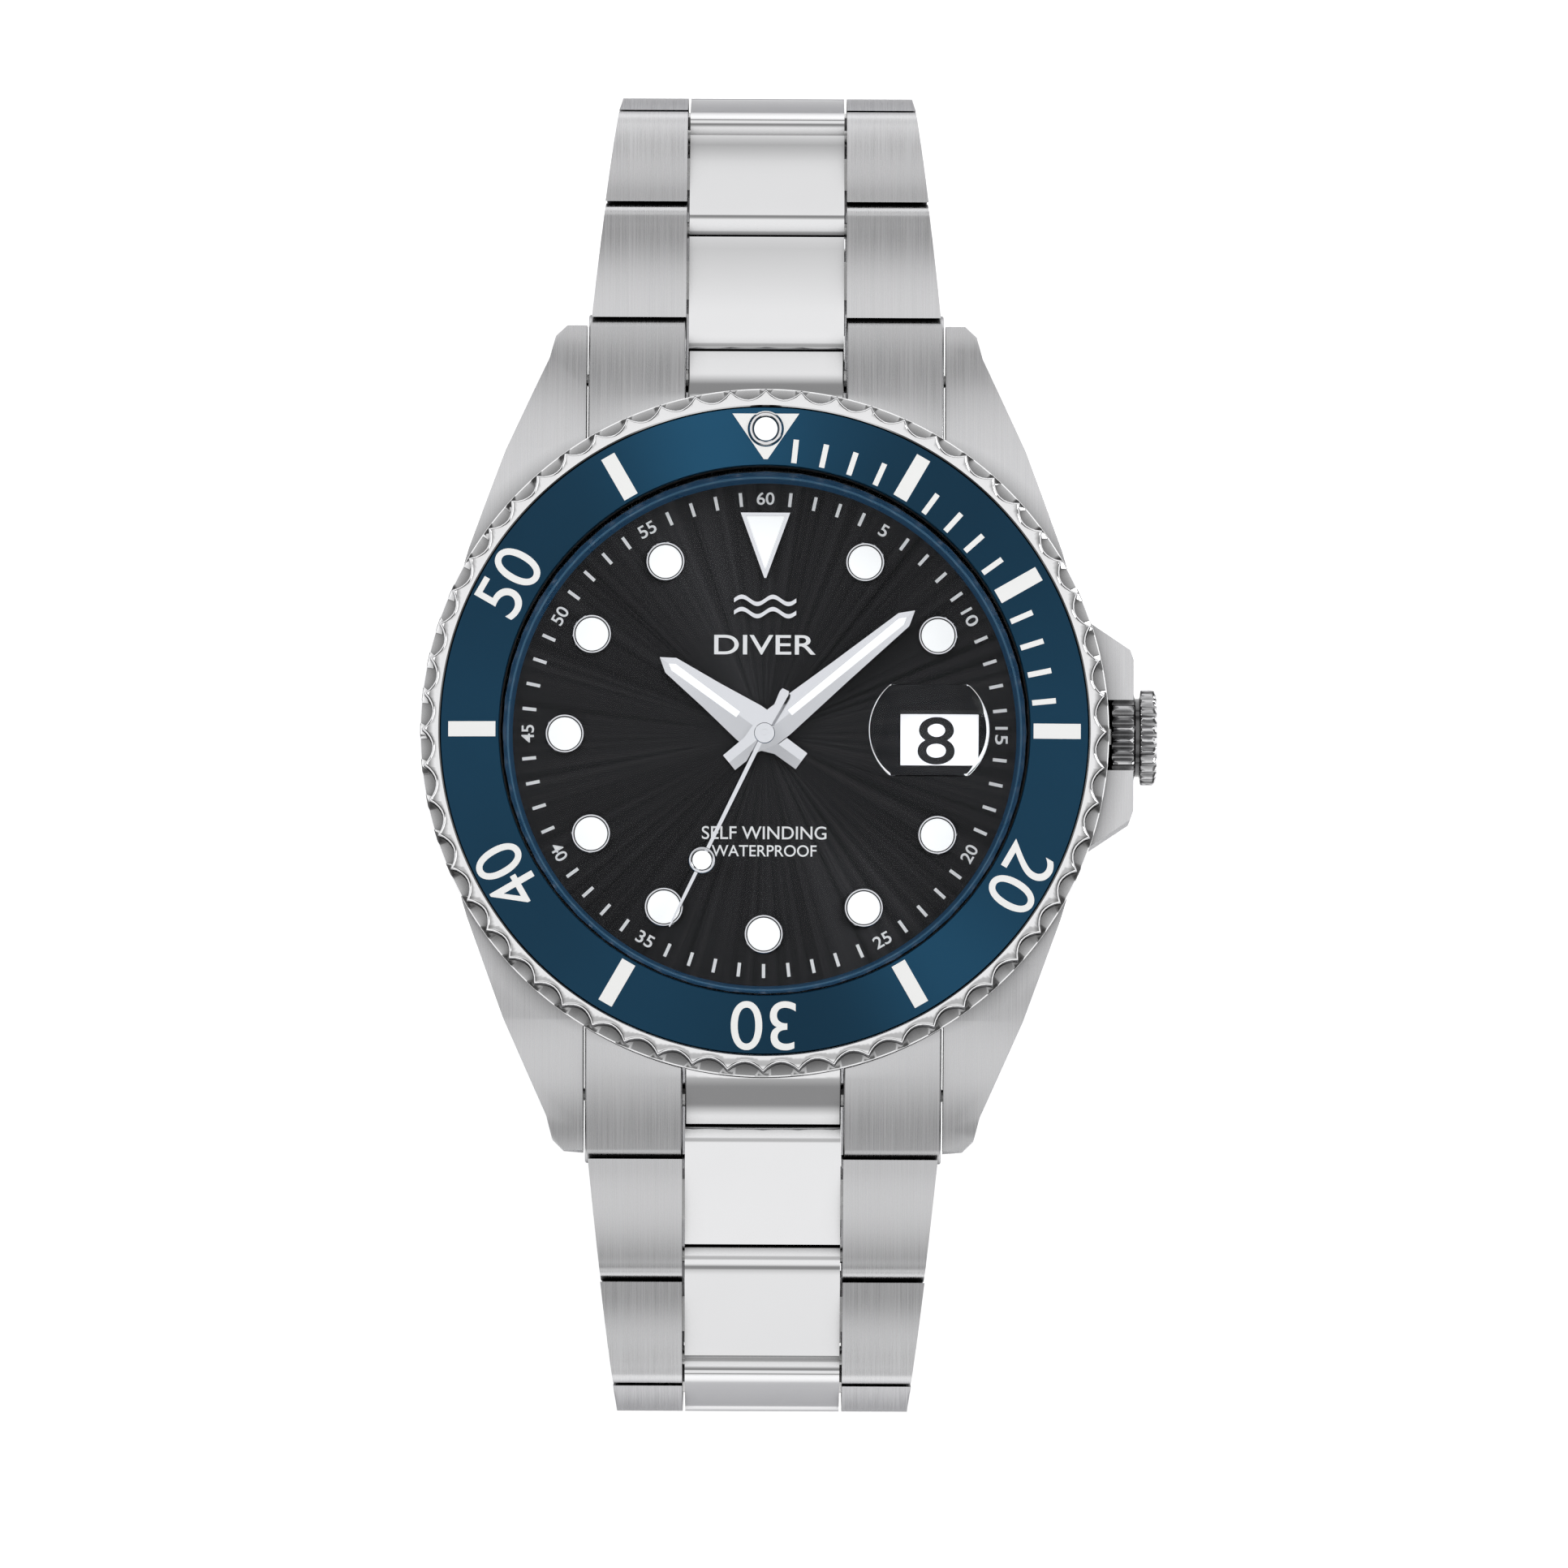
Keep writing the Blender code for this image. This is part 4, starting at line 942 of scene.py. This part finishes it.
def make_seconds():
    needle = [(0.04, 13.16), (0.1, 11.0), (0.13, 0.5), (0.16, -0.6), (0.29, -2.7), (0.22, -2.94)]
    place = ridge_hand("seconds_blade", needle, 8.05, 8.16, 8.175, "seconds", SECOND_ANGLE, ("seconds_hand",))
    cap = [(0.001, 8.32), (0.13, 8.32), (0.14, 8.2), (0.22, 8.2), (0.23, 8.3), (0.6, 8.3), (0.635, 8.26)]
    hub = lathed("seconds_cap", cap + [(0.635, 8.03), (0.001, 8.03)], SMALL_ROUND, closed=False)
    piece("seconds_cap", hub, "seconds", "hand_steel")
    spot = (0.0, 8.64)
    profile = [(0.64, 8.05), (0.64, 8.2), (0.67, 8.22), (0.78, 8.22), (0.815, 8.18), (0.815, 8.05)]
    rim = lathed("seconds_rim", profile, SMALL_ROUND, centre=spot)
    piece("seconds_rim", rim, "seconds", "hand_steel", (), place)
    section = [(0.001, 8.2), (0.58, 8.19), (0.58, 8.06), (0.001, 8.06)]
    lume = lathed("seconds_lume", section, SMALL_ROUND, closed=False, centre=spot)
    piece("seconds_lume", lume, "seconds", "white_lume", (), place)


# ---------------------------------------------------------------- bracelet


def half_width(number, y):
    """Half the bracelet's width on a link, at a distance from its near pivot."""
    return max(LAST_HALF_WIDTH, FIRST_HALF_WIDTH - WIDTH_LOSS * (number * LINK_PITCH + max(0.0, y)))


ACROSS = Matrix(((0, 0, 1, 0), (1, 0, 0, 0), (0, 1, 0, 0), (0, 0, 0, 1)))


def across(name, outline, low, high):
    """An outline in Y and Z made solid from one X to another, in millimetres."""
    mesh = extruded(name, [outline], low, high)
    mesh.transform(ACROSS)
    return mesh


def crowned(first, last, bulge, count=17):
    """Points along a link's outer face, which bulges a little between its ends."""
    ys = [first + (last - first) * i / (count - 1) for i in range(1, count - 1)]
    middle, half = (first + last) / 2, abs(last - first) / 2
    return [(y, LINK_R + bulge * (1 - ((y - middle) / half) ** 2)) for y in ys]


def link_centre(count=24):
    near = arc((0, 0), LINK_R, 270, 90, count)
    hollow = arc((LINK_PITCH, 0), CENTRE_SEAM_R, 180 - CENTRE_SEAM_ANGLE, 180 + CENTRE_SEAM_ANGLE, count)
    outer = crowned(0, LINK_PITCH - CENTRE_SEAM_REACH, CENTRE_BULGE)
    return across("link_centre", near + outer + hollow, -CENTRE_HALF, CENTRE_HALF)


def link_side(number, side, clasp_end, count=24):
    hollow = arc((0, 0), SIDE_SEAM_R, -SIDE_SEAM_ANGLE, SIDE_SEAM_ANGLE, count)
    far = arc((LINK_PITCH, 0), LINK_R, 90, -90, count)
    if clasp_end:
        far = [(LAST_ARM_END, LINK_R), (LAST_ARM_END, -LINK_R)]
    outline = hollow + crowned(SIDE_SEAM_REACH, far[0][0], SIDE_BULGE) + far
    mesh = across("link_side", outline, ARM_INNER, ARM_INNER + 1)
    for vertex in mesh.vertices:
        if vertex.co.x > (ARM_INNER + 0.5) * MM:
            vertex.co.x = half_width(number, vertex.co.y / MM) * MM
        vertex.co.x *= side
    tidy(mesh)
    return mesh


def link_place(hour, number):
    """A link's place: its origin on its near pivot, its own Y towards the far one.

    The last link of the 6 o'clock side ends at the mirror image of the clasp's pivot.
    """
    near = Vector(JOINTS[f"link_{hour}_{number + 1}_swing"]["pos_m"])
    after = JOINTS.get(f"link_{hour}_{number + 2}_swing", JOINTS["clasp_swing"])
    far = Vector(after["pos_m"])
    if hour == 6 and number == LINKS - 1:
        far.y = -far.y
    along = (far - near).normalized()
    right = Vector((1, 0, 0)) if hour == 12 else Vector((-1, 0, 0))
    outward = right.cross(along)
    turn = Matrix((right, along, outward)).transposed().to_4x4()
    return Matrix.Translation(near) @ turn


def end_link_section(x, outer):
    """A slice of an end link across X, from the bezel's side out to the first link."""
    inner = math.sqrt(END_LINK_CUT**2 - x * x)
    top = 7.25 - (inner - 17) * 0.3125
    return [(x, inner, 1.0)] + [(x, y, z) for y, z in outer] + [(x, inner, top)]


def make_end_links():
    shoulder = [(21.0, 6.0)]
    arm = arc(END_LINK_PIVOT, LINK_R, -90, 60, 16) + shoulder
    centre = arc(END_LINK_PIVOT, SIDE_SEAM_R, 230, 110, 16) + shoulder
    for hour, turn in ((12, 0.0), (6, math.pi)):
        place = HEAD @ Matrix.Rotation(turn, 4, "Z")
        node = f"end_link_{hour}"
        for side, low, high, outline in (
            ("left", -END_LINK_HALF, -ARM_INNER, arm),
            ("centre", -CENTRE_HALF, CENTRE_HALF, centre),
            ("right", ARM_INNER, END_LINK_HALF, arm),
        ):
            slices = [end_link_section(low + (high - low) * i / 12, outline) for i in range(13)]
            finish = "polished_steel" if side == "centre" else "brushed_steel"
            mesh = lofted(f"{node}_{side}", slices)
            piece(f"{node}_{side}", mesh, "case", finish, (node,), place, 0.12)


def make_links():
    for hour in (12, 6):
        for number in range(LINKS):
            node = f"link_{hour}_{number + 1}"
            place = link_place(hour, number)
            clasp_end = hour == 6 and number == LINKS - 1
            centre = link_centre()
            piece(f"{node}_centre", centre, node, "polished_steel", (node,), place, 0.08)
            for side, label in ((-1, "left"), (1, "right")):
                mesh = link_side(number, side, clasp_end)
                piece(f"{node}_{label}", mesh, node, "brushed_steel", (), place, 0.14)
            if clasp_end:
                make_link_eye(node, place)
            else:
                make_link_pin(node, number, place)


def make_link_eye(node, place):
    """The round end that the clasp's spring bar passes through."""
    eye = arc((LINK_PITCH, 0), LINK_R, 90, -90, 14) + [(5.5, -LINK_R), (5.5, LINK_R)]
    mesh = across("link_eye", eye, -7.9, 7.9)
    piece(f"{node}_eye", mesh, node, "brushed_steel", (), place, 0.1)


def make_link_pin(node, number, place):
    """The pin at a link's far end, and the bar inside that joins its three pieces."""
    reach = half_width(number, LINK_PITCH) - 0.05
    pin = across("link_pin", arc((LINK_PITCH, 0), 0.5, 0, 345, 24), -reach, reach)
    piece(f"{node}_pin", pin, node, "movement_steel", (), place)
    core = across("link_core", rectangle((2.4, -1.05), (5.0, 1.05)), -6.0, 6.0)
    piece(f"{node}_core", core, node, "movement_steel", (), place)


# ---------------------------------------------------------------- all of it

make_camera()
make_light()
make_floor()
make_bezel()
make_crystal()
make_case()
make_crown()
make_dial()
make_hands()
make_end_links()
make_links()

for node in sorted(NODES):
    if node not in REPLACED:
        refine_node(node, SLOT_OF[node], NODE_BEVELS.get(node, 0.0))

bpy.context.scene.view_settings.view_transform = "Standard"
bpy.context.view_layer.update()
